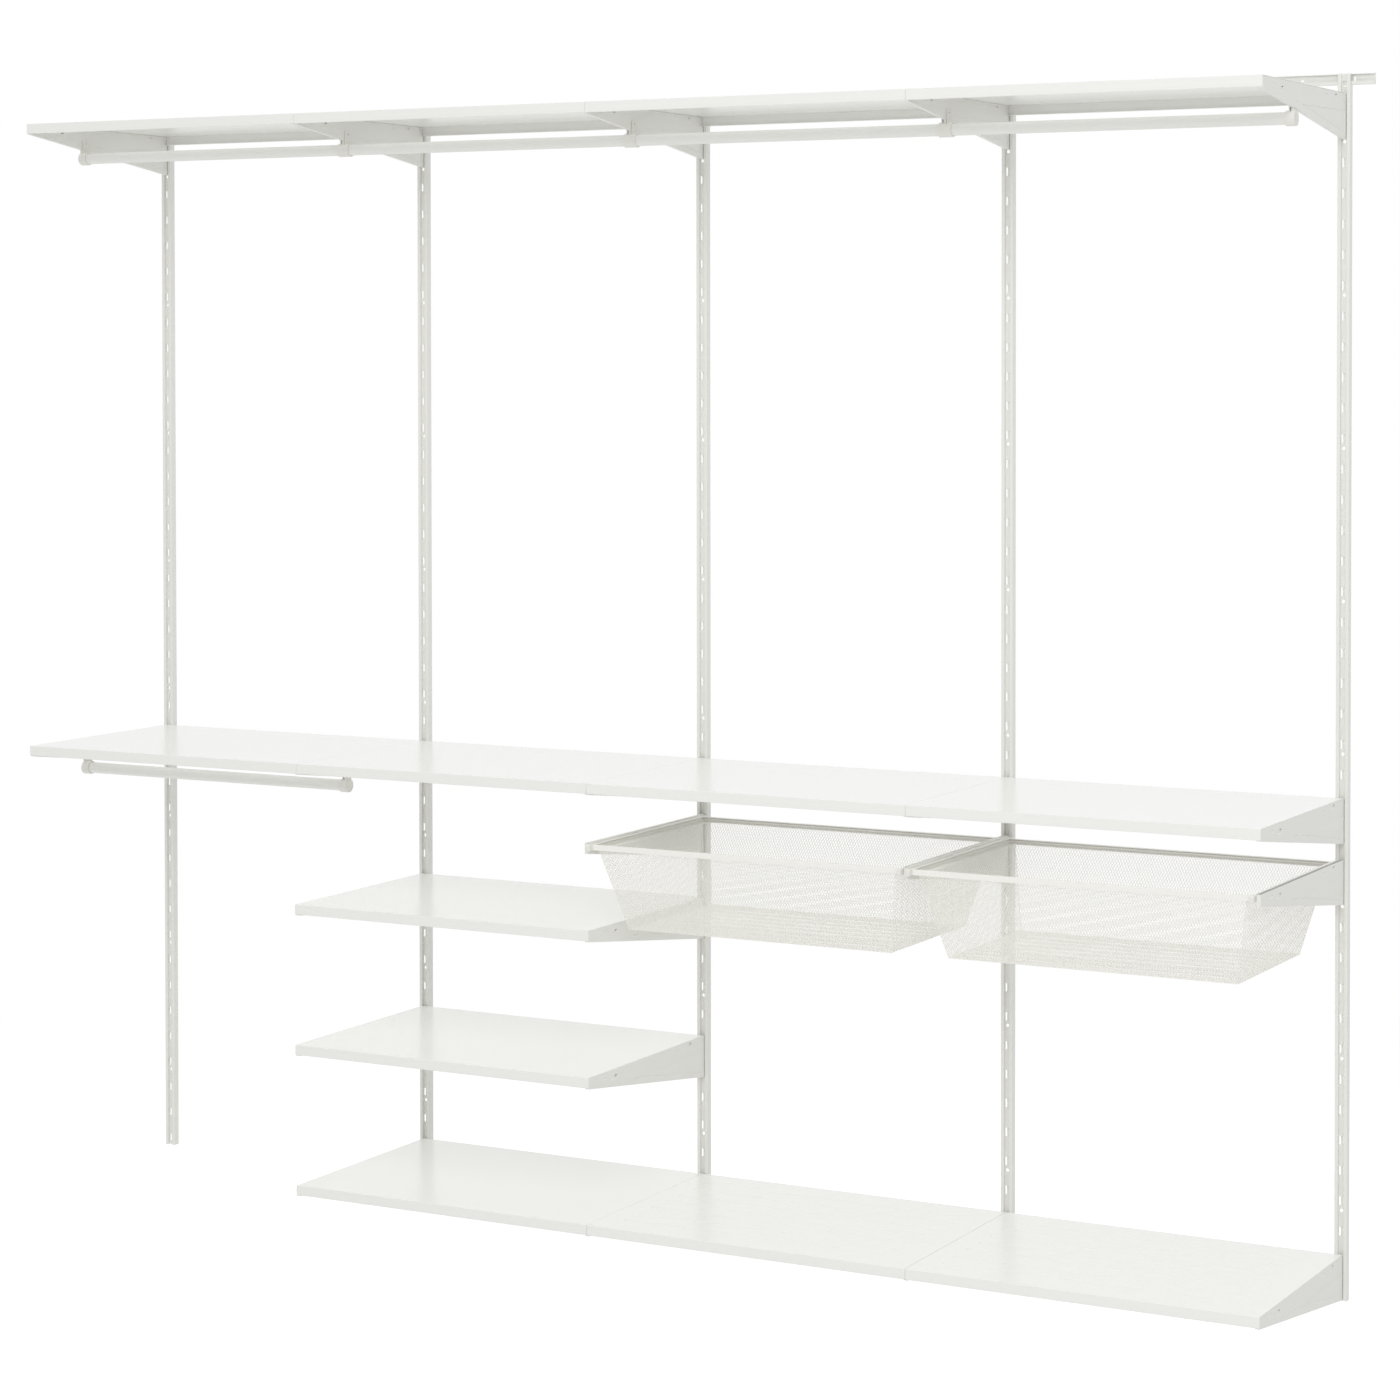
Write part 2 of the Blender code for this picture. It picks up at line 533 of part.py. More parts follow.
def make_runner(tools, side):
    """Runner hooked over one plate of a bracket, with a ledge, an upper guard and a stop."""
    sheet = RUNNER_SHEET
    leg = BRACKET_INSIDE / 2 - CLEARANCE
    top = -BRACKET_TOP_DROP + CLEARANCE + sheet
    ledge = -RIM_BASE_DROP - CLEARANCE
    section = [(leg - sheet, top - sheet - RUNNER_LEG), (leg - sheet, top), (RUNNER_WEB, top),
               (RUNNER_WEB, ledge), (RUNNER_LEDGE, ledge), (RUNNER_LEDGE, ledge - sheet),
               (SIDE_SPACE, ledge - sheet), (SIDE_SPACE, top - sheet), (leg, top - sheet),
               (leg, top - sheet - RUNNER_LEG)]
    section = [(side * x, z) for x, z in section]
    length = RUNNER_FRONT - RUNNER_BACK
    middle = -(RUNNER_FRONT + RUNNER_BACK) / 2
    runner = outline_solid("runner", [section], length, FACE, tools, (0, middle, 0))

    web_middle = (SIDE_SPACE + RUNNER_WEB) / 2
    guard_base = -RIM_DROP + CLEARANCE
    near, far = sorted((side * web_middle, side * RIM_INNER))
    guard = ((near, -RUNNER_BACK - RUNNER_GUARD, guard_base),
             (far, -RUNNER_BACK, guard_base + sheet))
    join(runner, box_solid("runner_guard", [guard], tools))
    near, far = sorted((side * web_middle, side * (RUNNER_LEDGE - sheet)))
    stop = ((near, -STOP_FRONT, ledge - sheet / 2), (far, sheet - STOP_FRONT, guard_base + sheet / 2))
    join(runner, box_solid("runner_stop", [stop], tools))
    return finished_mesh(runner)


def make_rim(tools):
    """Square ring of inverted channel with an end cap on each front corner."""
    outer_x = SECTION_PITCH / 2 - RIM_OUTER
    front, back = -RUNNER_FRONT, -RIM_BACK

    def ring(inset):
        return rectangle(-outer_x + inset, front + inset, outer_x - inset, back - inset)

    middle = -RIM_DROP - RIM_HEIGHT / 2
    rim = outline_solid("rim", [ring(0), ring(RIM_WIDTH)], RIM_HEIGHT, PLAN, tools,
                        (0, 0, middle))
    depth = RIM_HEIGHT - RIM_SHEET + OVERRUN
    groove = outline_solid("rim_groove", [ring(RIM_SHEET), ring(RIM_WIDTH - RIM_SHEET)], depth,
                           PLAN, tools, (0, 0, -RIM_DROP - RIM_SHEET - depth / 2))
    cut(rim, groove)

    low, high = -RIM_BASE_DROP - CLEARANCE - RUNNER_SHEET, CAP_RISE - RIM_DROP
    cap_back, cap_front = -CAP_BACK, -CAP_BACK - CAP_LENGTH
    section = [(cap_back, low), (cap_back, high), (cap_front + CAP_CHAMFER, high),
               (cap_front, high - CAP_CHAMFER), (cap_front, low + CAP_CHAMFER),
               (cap_front + CAP_CHAMFER, low)]
    half = SECTION_PITCH / 2
    for side in (-1, 1):
        cap_middle = side * (half - (RIM_INNER + SIDE_SPACE) / 2)
        join(rim, outline_solid("cap", [section], RIM_INNER - SIDE_SPACE, SIDE, tools,
                                (cap_middle, 0, 0)))
        near, far = sorted((side * outer_x, side * (outer_x - RIM_WIDTH)))
        spigot = ((near, cap_back - CAP_LENGTH / 2, RIM_SHEET - RIM_DROP - RIM_HEIGHT),
                  (far, front + RIM_SHEET / 2, -RIM_DROP - RIM_SHEET))
        join(rim, box_solid("cap_spigot", [spigot], tools))
    return finished_mesh(rim)


def mesh_row(columns, span, centre_y, half_y, shift):
    """One row of diamond openings across a panel of this width."""
    step = span / columns
    count = columns - (1 if shift else 0)
    first = -step * (count - 1) / 2
    half_x = (step - MESH_BAR) / 2
    return [diamond(first + step * i, centre_y, half_x, half_y) for i in range(count)]


def make_tub(tools):
    """Tapered mesh tub: a bottom, four leaning walls and a collar that enters the rim."""
    half_top = SECTION_PITCH / 2 - TUB_SIDE
    half_low = half_top - TUB_TAPER_SIDE
    front_low, back_low = TUB_TAPER_FRONT - TUB_FRONT, -TUB_BACK - TUB_TAPER_BACK
    rings = ((half_low, front_low, back_low, -TUB_FLOOR_DROP),
             (half_top, -TUB_FRONT, -TUB_BACK, -TUB_BEND_DROP),
             (half_top, -TUB_FRONT, -TUB_BACK, -TUB_EDGE_DROP))
    work = bmesh.new()
    bmesh.ops.create_grid(work, x_segments=1, y_segments=1, size=1)
    corners = list(work.verts)
    for number, (half, front, back, height) in enumerate(rings):
        if number:
            open_edges = [edge for edge in work.edges if edge.is_boundary]
            grown = bmesh.ops.extrude_edge_only(work, edges=open_edges)["geom"]
            corners = [part for part in grown if isinstance(part, bmesh.types.BMVert)]
        centre = sum(corner.co.y for corner in corners) / len(corners)
        for corner in corners:
            corner.co = (math.copysign(half, corner.co.x),
                         front if corner.co.y < centre else back, height)
    mesh = bpy.data.meshes.new("tub")
    work.to_mesh(mesh)
    work.free()
    tub = new_object("tub", mesh, tools)
    wall = tub.modifiers.new("sheet", "SOLIDIFY")
    wall.thickness = TUB_SHEET
    wall.offset = 0
    wall.use_even_offset = True

    low, high = -TUB_FLOOR_DROP + MESH_MARGIN, -TUB_BEND_DROP - MESH_MARGIN
    middle, half_y = (low + high) / 2, (high - low) / 2
    depth_y = TUB_FRONT - TUB_BACK
    centre_y = -(TUB_FRONT + TUB_BACK) / 2
    panel = 2 * (half_low - MESH_MARGIN)
    front_mesh = mesh_row(MESH_FRONT_COLUMNS, panel, middle, half_y, False)
    cut(tub, outline_solid("tub_front_mesh", front_mesh, depth_y + OVERRUN, FACE, tools,
                           (0, centre_y, 0)))
    low_y = back_low - front_low
    low_centre = (back_low + front_low) / 2
    side_mesh = mesh_row(MESH_SIDE_COLUMNS, low_y - 2 * MESH_MARGIN, middle, half_y, False)
    cut(tub, outline_solid("tub_side_mesh", side_mesh, 2 * half_top + OVERRUN, SIDE, tools,
                           (0, low_centre, 0)))
    row_step = (low_y - 2 * MESH_MARGIN) / MESH_BOTTOM_ROWS
    floor_mesh = []
    for number in range(MESH_BOTTOM_ROWS):
        row_y = row_step * (number - (MESH_BOTTOM_ROWS - 1) / 2)
        floor_mesh += mesh_row(MESH_FRONT_COLUMNS, panel, row_y, (row_step - MESH_BAR) / 2, False)
    cut(tub, outline_solid("tub_floor_mesh", floor_mesh, TUB_SHEET + OVERRUN, PLAN, tools,
                           (0, low_centre, -TUB_FLOOR_DROP)))
    return finished_mesh(tub)


def place(name, mesh, group, place_at, look, parent=None):
    """One named piece with a material of its own."""
    if not mesh.materials:
        mesh.materials.append(None)
    item = new_object(name, mesh, group)
    item.material_slots[0].link = "OBJECT"
    item.material_slots[0].material = paint(name, *look)
    item.location = place_at
    if parent:
        item.parent = parent
        item.location = [a - b for a, b in zip(place_at, parent.location)]
    return item


def build():
    clear_scene()
    parts = new_collection(OBJECT_NAME)
    tools = new_collection(OBJECT_NAME + "_cutters")
    powder = (WHITE, 0.38, 0.0)
    enamel = (WHITE, 0.30, 0.0)
    plastic = (WARM_WHITE, 0.45, 0.0)

    rail = make_rail(tools)
    for number in range(RAIL_COUNT):
        middle = (number + 1 / 2) * RAIL_STEP - RAIL_OVERHANG
        place(f"rail_{number + 1}", rail, parts, (middle, 0, 0), powder)

    upright = make_upright(tools)
    uprights = range(1, SECTIONS + 2)
    for number in uprights:
        place(f"upright_{number}", upright, parts, (upright_x(number), 0, 0), powder)

    bracket = make_bracket(tools)
    bracket_sets = (("top", TOP_ROW, uprights), ("middle", MIDDLE_ROW, uprights),
                    ("basket", BASKET_ROW, range(3, SECTIONS + 2)),
                    ("upper", UPPER_ROW, (2, 3)), ("lower", LOWER_ROW, (2, 3)),
                    ("bottom", BOTTOM_ROW, range(2, SECTIONS + 2)))
    for label, row, numbers in bracket_sets:
        for number in numbers:
            place(f"bracket_{label}_{number}", bracket, parts,
                  (upright_x(number), 0, level(row)), powder)

    sections = range(1, SECTIONS + 1)
    shelf_sets = (("shelf_top", False, TOP_ROW, sections, (True, True)),
                  ("shelf_middle", False, MIDDLE_ROW, sections, (True, True)),
                  ("shelf_upper", False, UPPER_ROW, (2,), (True, True)),
                  ("shelf_lower", False, LOWER_ROW, (2,), (True, True)),
                  ("shelf_bottom", False, BOTTOM_ROW, (2,), (False, False)),
                  ("shoe_shelf", True, BOTTOM_ROW, range(3, SECTIONS + 1), (False, True)))
    shelves = {}
    for label, grooved, row, numbers, free in shelf_sets:
        for number in numbers:
            kind = (grooved, (free[0] and number == numbers[0], free[1] and number == numbers[-1]))
            if kind not in shelves:
                shelves[kind] = make_shelf(tools, *kind)
            place(f"{label}_{number}", shelves[kind], parts,
                  (section_x(number), 0, level(row)), enamel)

    for label, row, numbers in (("top", TOP_ROW, sections), ("middle", MIDDLE_ROW, (1,))):
        height = level(row) - TUBE_DROP
        for number in numbers:
            first = number == numbers[0]
            last = number == numbers[-1] and not first
            place(f"tube_{label}_{number}", make_tube(tools, first, last), parts,
                  (section_x(number), -TUBE_REACH, height), enamel)
            if not last:
                holder = finished_mesh(holder_solid(tools, True, number < numbers[-1], 0))
                place(f"tube_holder_{label}_{number + 1}", holder, parts,
                      (upright_x(number + 1), -TUBE_REACH, height), plastic)

    runners = {side: make_runner(tools, side) for side in (-1, 1)}
    rim, tub = make_rim(tools), make_tub(tools)
    half = SECTION_PITCH / 2
    for number, section in enumerate(range(3, SECTIONS + 1), start=1):
        middle_x, height = section_x(section), level(BASKET_ROW)
        for label, side in (("left", 1), ("right", -1)):
            place(f"basket_{number}_runner_{label}", runners[side], parts,
                  (middle_x - side * half, 0, height), powder)
        slide = bpy.data.objects.new(f"basket_{number}_slide", None)
        parts.objects.link(slide)
        slide.location = (middle_x, 0, height)
        place(f"basket_{number}_rim", rim, parts, slide.location, enamel, slide)
        place(f"basket_{number}_tub", tub, parts, slide.location, enamel, slide)
    bpy.context.view_layer.update()


build()
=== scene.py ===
"""Wall mounted closet system, dressed as in its photograph: folded white steel hung on a rail,
with clothes tubes and two sliding baskets of expanded mesh.  It is laid out as an add-on and
run as a script.

Lengths are in metres in the frame of the solids: X runs along the wall, the wall is the plane
Y = 0 with the room at negative Y, and Z is up.
"""
import math

import bmesh
import bpy
from bpy.props import FloatProperty, FloatVectorProperty, IntProperty, PointerProperty
from mathutils import Matrix, Vector


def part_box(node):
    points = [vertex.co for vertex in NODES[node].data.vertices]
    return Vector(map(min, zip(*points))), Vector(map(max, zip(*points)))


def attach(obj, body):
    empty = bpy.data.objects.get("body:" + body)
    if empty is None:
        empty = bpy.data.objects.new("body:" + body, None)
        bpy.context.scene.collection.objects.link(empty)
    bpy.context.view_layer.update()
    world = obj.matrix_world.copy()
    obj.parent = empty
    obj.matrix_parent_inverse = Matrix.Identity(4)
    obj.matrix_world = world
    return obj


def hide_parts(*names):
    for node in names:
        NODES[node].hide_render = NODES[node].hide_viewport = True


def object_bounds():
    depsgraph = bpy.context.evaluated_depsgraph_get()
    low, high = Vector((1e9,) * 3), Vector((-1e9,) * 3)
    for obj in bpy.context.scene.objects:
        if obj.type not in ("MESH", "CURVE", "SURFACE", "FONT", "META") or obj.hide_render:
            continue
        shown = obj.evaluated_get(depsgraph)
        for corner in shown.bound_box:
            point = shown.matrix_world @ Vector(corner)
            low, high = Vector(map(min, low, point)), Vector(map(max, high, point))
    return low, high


bl_info = {
    "name": "Wall Mounted Closet System",
    "version": (1, 0, 0),
    "blender": (4, 5, 0),
    "location": "View3D > Sidebar > Closet",
    "description": "Models and finishes the pieces of a wall mounted closet system",
    "category": "Add Mesh",
}

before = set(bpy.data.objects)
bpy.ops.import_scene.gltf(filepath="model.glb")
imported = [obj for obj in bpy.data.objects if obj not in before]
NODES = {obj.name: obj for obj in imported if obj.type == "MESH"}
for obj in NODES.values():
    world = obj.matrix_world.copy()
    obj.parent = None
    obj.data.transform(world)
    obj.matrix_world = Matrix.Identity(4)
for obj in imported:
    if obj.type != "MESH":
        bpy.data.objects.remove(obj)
SOLIDS_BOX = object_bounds()
WALL_BODY = "wall_frame"

SECTION_PITCH = 0.600        # centre of one upright to the centre of the next
SLOT_PITCH = 0.050
SLOT_FIRST = 0.0445          # upright top to the middle of its first slot
TOLERANCE = 0.00005          # how near a corner lies to the place that is asked for
SMALL_OVERLAP = 0.0005       # how far a joined part reaches into its neighbour
FACING = 0.9                 # least share of a normal that counts as looking along an axis
FOLD_SEGMENTS = 3            # flats that draw a rounded fold
TUBE_RADIUS = 0.010
CUP_RADIUS = 0.01225
CUP_DISC = 0.0023            # half the wall between the two mouths of a cup

# Camera, fitted to the perspective of the photograph
CAMERA_PLACE = (4.133, -5.188, -0.4488)
CAMERA_FALL = 1.227          # degrees below the level
CAMERA_TURN = 26.664         # degrees to the left of straight at the wall
CAMERA_LENS = 85.236         # mm
CAMERA_SENSOR = 36           # mm wide
CAMERA_SHIFT = (-0.1202, -0.1957)


def linear(code):
    """Scene colour of an sRGB hex value."""
    parts = [int(code[i:i + 2], 16) / 255 for i in (0, 2, 4)]
    return tuple(c / 12.92 if c <= 0.04045 else ((c + 0.055) / 1.055) ** 2.4 for c in parts)


class ClosetSizes(bpy.types.PropertyGroup):
    """Sizes that a user would change."""
    fold: FloatProperty(name="Fold radius", default=0.0011, min=0.0002, max=0.0012, unit="LENGTH",
                        precision=5, description="Outer radius of a fold in the sheet steel")
    slot_web: FloatProperty(name="Slot web", default=0.0034, min=0.001, max=0.005, unit="LENGTH",
                            precision=5, description="Metal left between the two slots of a row")
    mesh_short: FloatProperty(name="Mesh short way", default=0.0051, min=0.004, unit="LENGTH",
                              precision=5, description="Short diagonal of a mesh diamond")
    mesh_long: FloatProperty(name="Mesh long way", default=0.0096, min=0.006, unit="LENGTH",
                             precision=5, description="Long diagonal of a mesh diamond")
    strand: FloatProperty(name="Strand width", default=0.00062, min=0.0004, unit="LENGTH",
                          precision=5, description="Width of one strand of the mesh")
    strand_depth: FloatProperty(name="Strand thickness", default=0.0007, min=0.0003,
                                unit="LENGTH", precision=5,
                                description="Sheet thickness of the expanded mesh")
    rib: FloatProperty(name="Rib height", default=0.0016, min=0.0, max=0.004, unit="LENGTH",
                       precision=5, description="Height of the ribs in the basket bottom")
    facets: IntProperty(name="Round facets", default=48, min=16, max=96,
                        description="Sides of the tubes and cups")
    floor_gap: FloatProperty(name="Height above the floor", default=0.30, min=0.0, unit="LENGTH",
                             description="Floor to the lower end of the uprights")


class ClosetColours(bpy.types.PropertyGroup):
    """Colours of the finishes."""
    powder: FloatVectorProperty(name="Powder coat", subtype="COLOR", size=3, min=0, max=1,
                                default=linear("EEEEEA"), description="Uprights and brackets")
    shelf: FloatVectorProperty(name="Shelf enamel", subtype="COLOR", size=3, min=0, max=1,
                               default=linear("F3F3F0"), description="Folded shelves")
    tube: FloatVectorProperty(name="Tube lacquer", subtype="COLOR", size=3, min=0, max=1,
                              default=linear("F1F1EE"), description="Clothes tubes")
    mesh: FloatVectorProperty(name="Basket coat", subtype="COLOR", size=3, min=0, max=1,
                              default=linear("F8F7F2"), description="Baskets and their rims")
    plastic: FloatVectorProperty(name="Moulded parts", subtype="COLOR", size=3, min=0, max=1,
                                 default=linear("ECEBE6"), description="Cups and end caps")
    floor: FloatVectorProperty(name="Floor", subtype="COLOR", size=3, min=0, max=1,
                               default=linear("F4F4F2"), description="Plain pale floor")


def sizes():
    return bpy.context.scene.closet_sizes


def colours():
    return bpy.context.scene.closet_colours


# Finishes

def add(tree, kind, settings=None, values=None, links=None):
    """Add one node with its settings, its values and the links that enter it."""
    node = tree.nodes.new(kind)
    for key, value in (settings or {}).items():
        setattr(node, key, value)
    for key, value in (values or {}).items():
        node.inputs[key].default_value = value
    for key, source in (links or {}).items():
        tree.links.new(source, node.inputs[key])
    return node


def emptied_tree(owner):
    """The node tree of a material or a world, without any nodes."""
    owner.use_nodes = True
    owner.node_tree.nodes.clear()
    return owner.node_tree


def cloudy_tint(tree, place, colour, shade, noise):
    """A colour that runs in soft patches towards this shade of itself."""
    cloud = add(tree, "ShaderNodeTexNoise", {}, noise, {"Vector": place})
    tint = add(tree, "ShaderNodeMix", {"data_type": "RGBA"},
               {6: (*colour, 1), 7: (*(c * shade for c in colour), 1)},
               {0: cloud.outputs["Fac"]})
    return tint.outputs[2]


def finish_of(name, colour, shade, patch, grain, relief, stretch, shader_values):
    """A coat over steel or plastic.

    colour and shade are the two ends of its tint, patch the size of the cloudy change between
    them, grain the size of its fine relief, relief that relief's height, and stretch how much
    the grain is drawn out along each axis.
    """
    found = bpy.data.materials.get(name)
    if found:
        return found
    material = bpy.data.materials.new(name)
    tree = emptied_tree(material)
    place = add(tree, "ShaderNodeTexCoord").outputs["Object"]
    tint = cloudy_tint(tree, place, colour, shade,
                       {"Scale": 1 / patch, "Detail": 3.0, "Roughness": 0.6})
    drawn = add(tree, "ShaderNodeMapping", {}, {"Scale": stretch}, {"Vector": place})
    peel = add(tree, "ShaderNodeTexNoise", {}, {"Scale": 1 / grain, "Detail": 4.0,
                                                "Roughness": 0.5},
               {"Vector": drawn.outputs["Vector"]})
    bump = add(tree, "ShaderNodeBump", {}, {"Strength": 0.5, "Distance": relief},
               {"Height": peel.outputs["Fac"]})
    shader = add(tree, "ShaderNodeBsdfPrincipled", {}, shader_values,
                 {"Base Color": tint, "Normal": bump.outputs["Normal"]})
    add(tree, "ShaderNodeOutputMaterial", {}, {}, {"Surface": shader.outputs["BSDF"]})
    return material


def powder_coated_steel():
    """Polyester powder baked on folded steel: an even satin white whose slight orange peel,
    under a millimetre and drawn here at 2.5 mm so that it shows, blurs the reflections."""
    return finish_of("powder_coated_steel", colours().powder, 0.975, 0.5, 0.0025, 0.00005,
                     (1, 1, 1), {"Roughness": 0.38, "IOR": 1.5, "Metallic": 0.0})


def coil_coated_sheet():
    """Smooth enamel on shelf sheet: the long, almost flat waves of the rolled sheet bend the
    soft reflection of the uprights, and the gloss is higher than on the brackets."""
    return finish_of("coil_coated_sheet", colours().shelf, 0.985, 0.7, 0.060, 0.00012,
                     (0.4, 1, 1), {"Roughness": 0.24, "IOR": 1.5, "Metallic": 0.0})


def lacquered_tube():
    """White lacquer on a drawn tube: fine lines along its length, 0.4 mm apart, under a
    gloss that gives the tube one long highlight."""
    return finish_of("lacquered_tube", colours().tube, 0.98, 0.4, 0.0012, 0.00002,
                     (0.04, 1, 1), {"Roughness": 0.20, "IOR": 1.5, "Metallic": 0.0})


def epoxy_coated_mesh():
    """Epoxy powder on expanded steel: it gathers at the knots, so the white changes a
    little from strand to strand, and the satin surface has no sharp highlight."""
    return finish_of("epoxy_coated_mesh", colours().mesh, 0.95, 0.012, 0.0018, 0.00005,
                     (1, 1, 1), {"Roughness": 0.42, "IOR": 1.5, "Metallic": 0.0})


def moulded_nylon():
    """Injection moulded nylon: a slightly warmer white than the steel, with the fine spark
    eroded texture of the mould, 0.3 mm and drawn at 1 mm, and a dull sheen."""
    return finish_of("moulded_nylon", colours().plastic, 0.98, 0.05, 0.001, 0.00004,
                     (1, 1, 1), {"Roughness": 0.5, "IOR": 1.53, "Metallic": 0.0})


# Modelling

def select_only(*items):
    """Leave just these objects selected, the first of them active."""
    if bpy.context.mode != "OBJECT":
        bpy.ops.object.mode_set(mode="OBJECT")
    bpy.ops.object.select_all(action="DESELECT")
    for item in items:
        item.select_set(True)
    bpy.context.view_layer.objects.active = items[0]


def node_named(name):
    if name not in NODES:
        raise RuntimeError(f"the packed model has no node named {name}")
    return NODES[name]


def welded_copy(node, name):
    """A copy of a solid's mesh, welded and with its flat areas as whole faces."""
    mesh = node_named(node).data.copy()
    mesh.materials.clear()
    piece = bpy.data.objects.new(name, mesh)
    bpy.context.scene.collection.objects.link(piece)
    select_only(piece)
    bpy.ops.mesh.customdata_custom_splitnormals_clear()
    bpy.ops.object.mode_set(mode="EDIT")
    bpy.ops.mesh.select_all(action="SELECT")
    bpy.ops.mesh.remove_doubles(threshold=TOLERANCE / 10)
    bpy.ops.mesh.dissolve_limited(angle_limit=math.radians(0.5))
    bpy.ops.mesh.select_all(action="DESELECT")
    bpy.ops.object.mode_set(mode="OBJECT")
    return piece


def start_edit(piece, kind):
    """Enter edit mode with nothing selected and this kind of element to pick."""
    select_only(piece)
    bpy.ops.object.mode_set(mode="EDIT")
    bpy.ops.mesh.select_mode(type=kind)
    bpy.ops.mesh.select_all(action="DESELECT")


def pick_edges(piece, wanted):
    """Select the edges whose two ends pass a test, in edit mode."""
    work = bmesh.from_edit_mesh(piece.data)
    for edge in work.edges:
        edge.select_set(wanted(edge.verts[0].co, edge.verts[1].co))
    bmesh.update_edit_mesh(piece.data)
    return sum(edge.select for edge in work.edges)


def pick_faces(piece, wanted):
    """Select the faces whose middle and normal pass a test, in edit mode."""
    work = bmesh.from_edit_mesh(piece.data)
    work.faces.ensure_lookup_table()
    picked = [face for face in work.faces if wanted(face.calc_center_median(), face.normal)]
    for face in picked:
        face.select_set(True)
    bmesh.update_edit_mesh(piece.data)
    return len(picked)


def near(value, *places):
    return any(abs(value - place) < TOLERANCE for place in places)


def along_x(a, b):
    return near(a.y, b.y) and near(a.z, b.z) and not near(a.x, b.x)


def round_edges(piece, wanted, radius, segments):
    """Bevel the edges that pass a test on their two ends."""
    start_edit(piece, "EDGE")
    if not pick_edges(piece, wanted):
        raise RuntimeError(f"{piece.name} has none of the edges that are to be rounded")
    bpy.ops.mesh.bevel(offset=radius, segments=segments, profile=0.5, affect="EDGES",
                       clamp_overlap=False)
    bpy.ops.object.mode_set(mode="OBJECT")


def apply_modifier(piece, kind, **settings):
    """Add a modifier with these settings and apply it."""
    select_only(piece)
    change = piece.modifiers.new(kind.lower(), kind)
    for key, value in settings.items():
        setattr(change, key, value)
    bpy.ops.object.modifier_apply(modifier=change.name)


def combine(piece, tool, operation):
    """Join a tool to a piece, or cut it away, and remove the tool."""
    apply_modifier(piece, "BOOLEAN", object=tool, operation=operation, solver="EXACT")
    bpy.data.objects.remove(tool, do_unlink=True)


def settle(piece):
    """Put the piece's place into its mesh."""
    select_only(piece)
    bpy.ops.object.transform_apply(location=True, rotation=True, scale=True)


def face_outwards(piece):
    start_edit(piece, "FACE")
    bpy.ops.mesh.select_all(action="SELECT")
    bpy.ops.mesh.remove_doubles(threshold=TOLERANCE / 10)
    bpy.ops.mesh.normals_make_consistent(inside=False)
    bpy.ops.object.mode_set(mode="OBJECT")


def smooth_folds(piece, limit=40):
    """Smooth the rounded edges and keep the flats flat."""
    select_only(piece)
    bpy.ops.object.shade_smooth_by_angle(angle=math.radians(limit))
    apply_modifier(piece, "WEIGHTED_NORMAL", mode="FACE_AREA", weight=50, keep_sharp=True)


def new_block(name, low, high):
    """A block between two corners, as a start for edit mode or a tool."""
    middle = [(a + b) / 2 for a, b in zip(low, high)]
    spans = [b - a for a, b in zip(low, high)]
    bpy.ops.object.select_all(action="DESELECT")
    bpy.ops.mesh.primitive_cube_add(size=1, location=middle, scale=spans)
    block = bpy.context.object
    block.name = name
    settle(block)
    return block


def new_round(name, radius, start, stop, centre, ends="NGON"):
    """A cylinder along X from start to stop, as a start for edit mode or a tool."""
    bpy.ops.object.select_all(action="DESELECT")
    bpy.ops.mesh.primitive_cylinder_add(
        vertices=sizes().facets, radius=radius, depth=stop - start, end_fill_type=ends,
        location=((start + stop) / 2, centre[0], centre[1]), rotation=(0, math.pi / 2, 0))
    made = bpy.context.object
    made.name = name
    settle(made)
    return made


def copy_piece(piece, name, offset):
    """A copy with its own mesh, moved by this much."""
    select_only(piece)
    bpy.ops.object.duplicate(linked=False)
    made = bpy.context.object
    made.name = name
    bpy.ops.transform.translate(value=offset)
    settle(made)
    return made


def dress(piece, material, body, slot, *nodes):
    """Give a finished piece its finish, its body and the solids that it stands for."""
    piece.data.materials.clear()
    piece.data.materials.append(material)
    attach(piece, body)
    if nodes:
        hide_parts(*nodes)


def dress_copies(first, source, names, material, slot, kind):
    """Copy a finished piece to each like node, named for its kind, then dress them all."""
    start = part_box(source)[0]
    for node in names:
        if node != source:
            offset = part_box(node)[0] - start
            dress(copy_piece(first, kind + node, offset), material, WALL_BODY, slot, node)
    dress(first, material, WALL_BODY, slot, source)


def like(*starts):
    """Names of the nodes that begin with one of these words, in order."""
    return sorted(name for name in NODES if name.startswith(starts))


def like_ends(names):
    """Groups of nodes whose two ends lie alike beside the centre lines of the uprights."""
    groups = {}
    for node in names:
        ends = [corner.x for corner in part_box(node)]
        kind = tuple(round(x - SECTION_PITCH * round(x / SECTION_PITCH), 4) for x in ends)
        groups.setdefault(kind, []).append(node)
    return list(groups.values())


def model_rails():
    """Suspension rail in four lengths, its folds rounded and its lip edge broken."""
    low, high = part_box("rail_1")
    rail = welded_copy("rail_1", "suspension_rail_1")
    tight = 0.8                          # its folds against those of the uprights

    def fold(a, b):
        return along_x(a, b) and near(a.y, low.y) and near(a.z, low.z, high.z)

    round_edges(rail, fold, tight * sizes().fold, FOLD_SEGMENTS)
    smooth_folds(rail)
    dress_copies(rail, "rail_1", like("rail_"), powder_coated_steel(), "powder_white",
                 "suspension_")


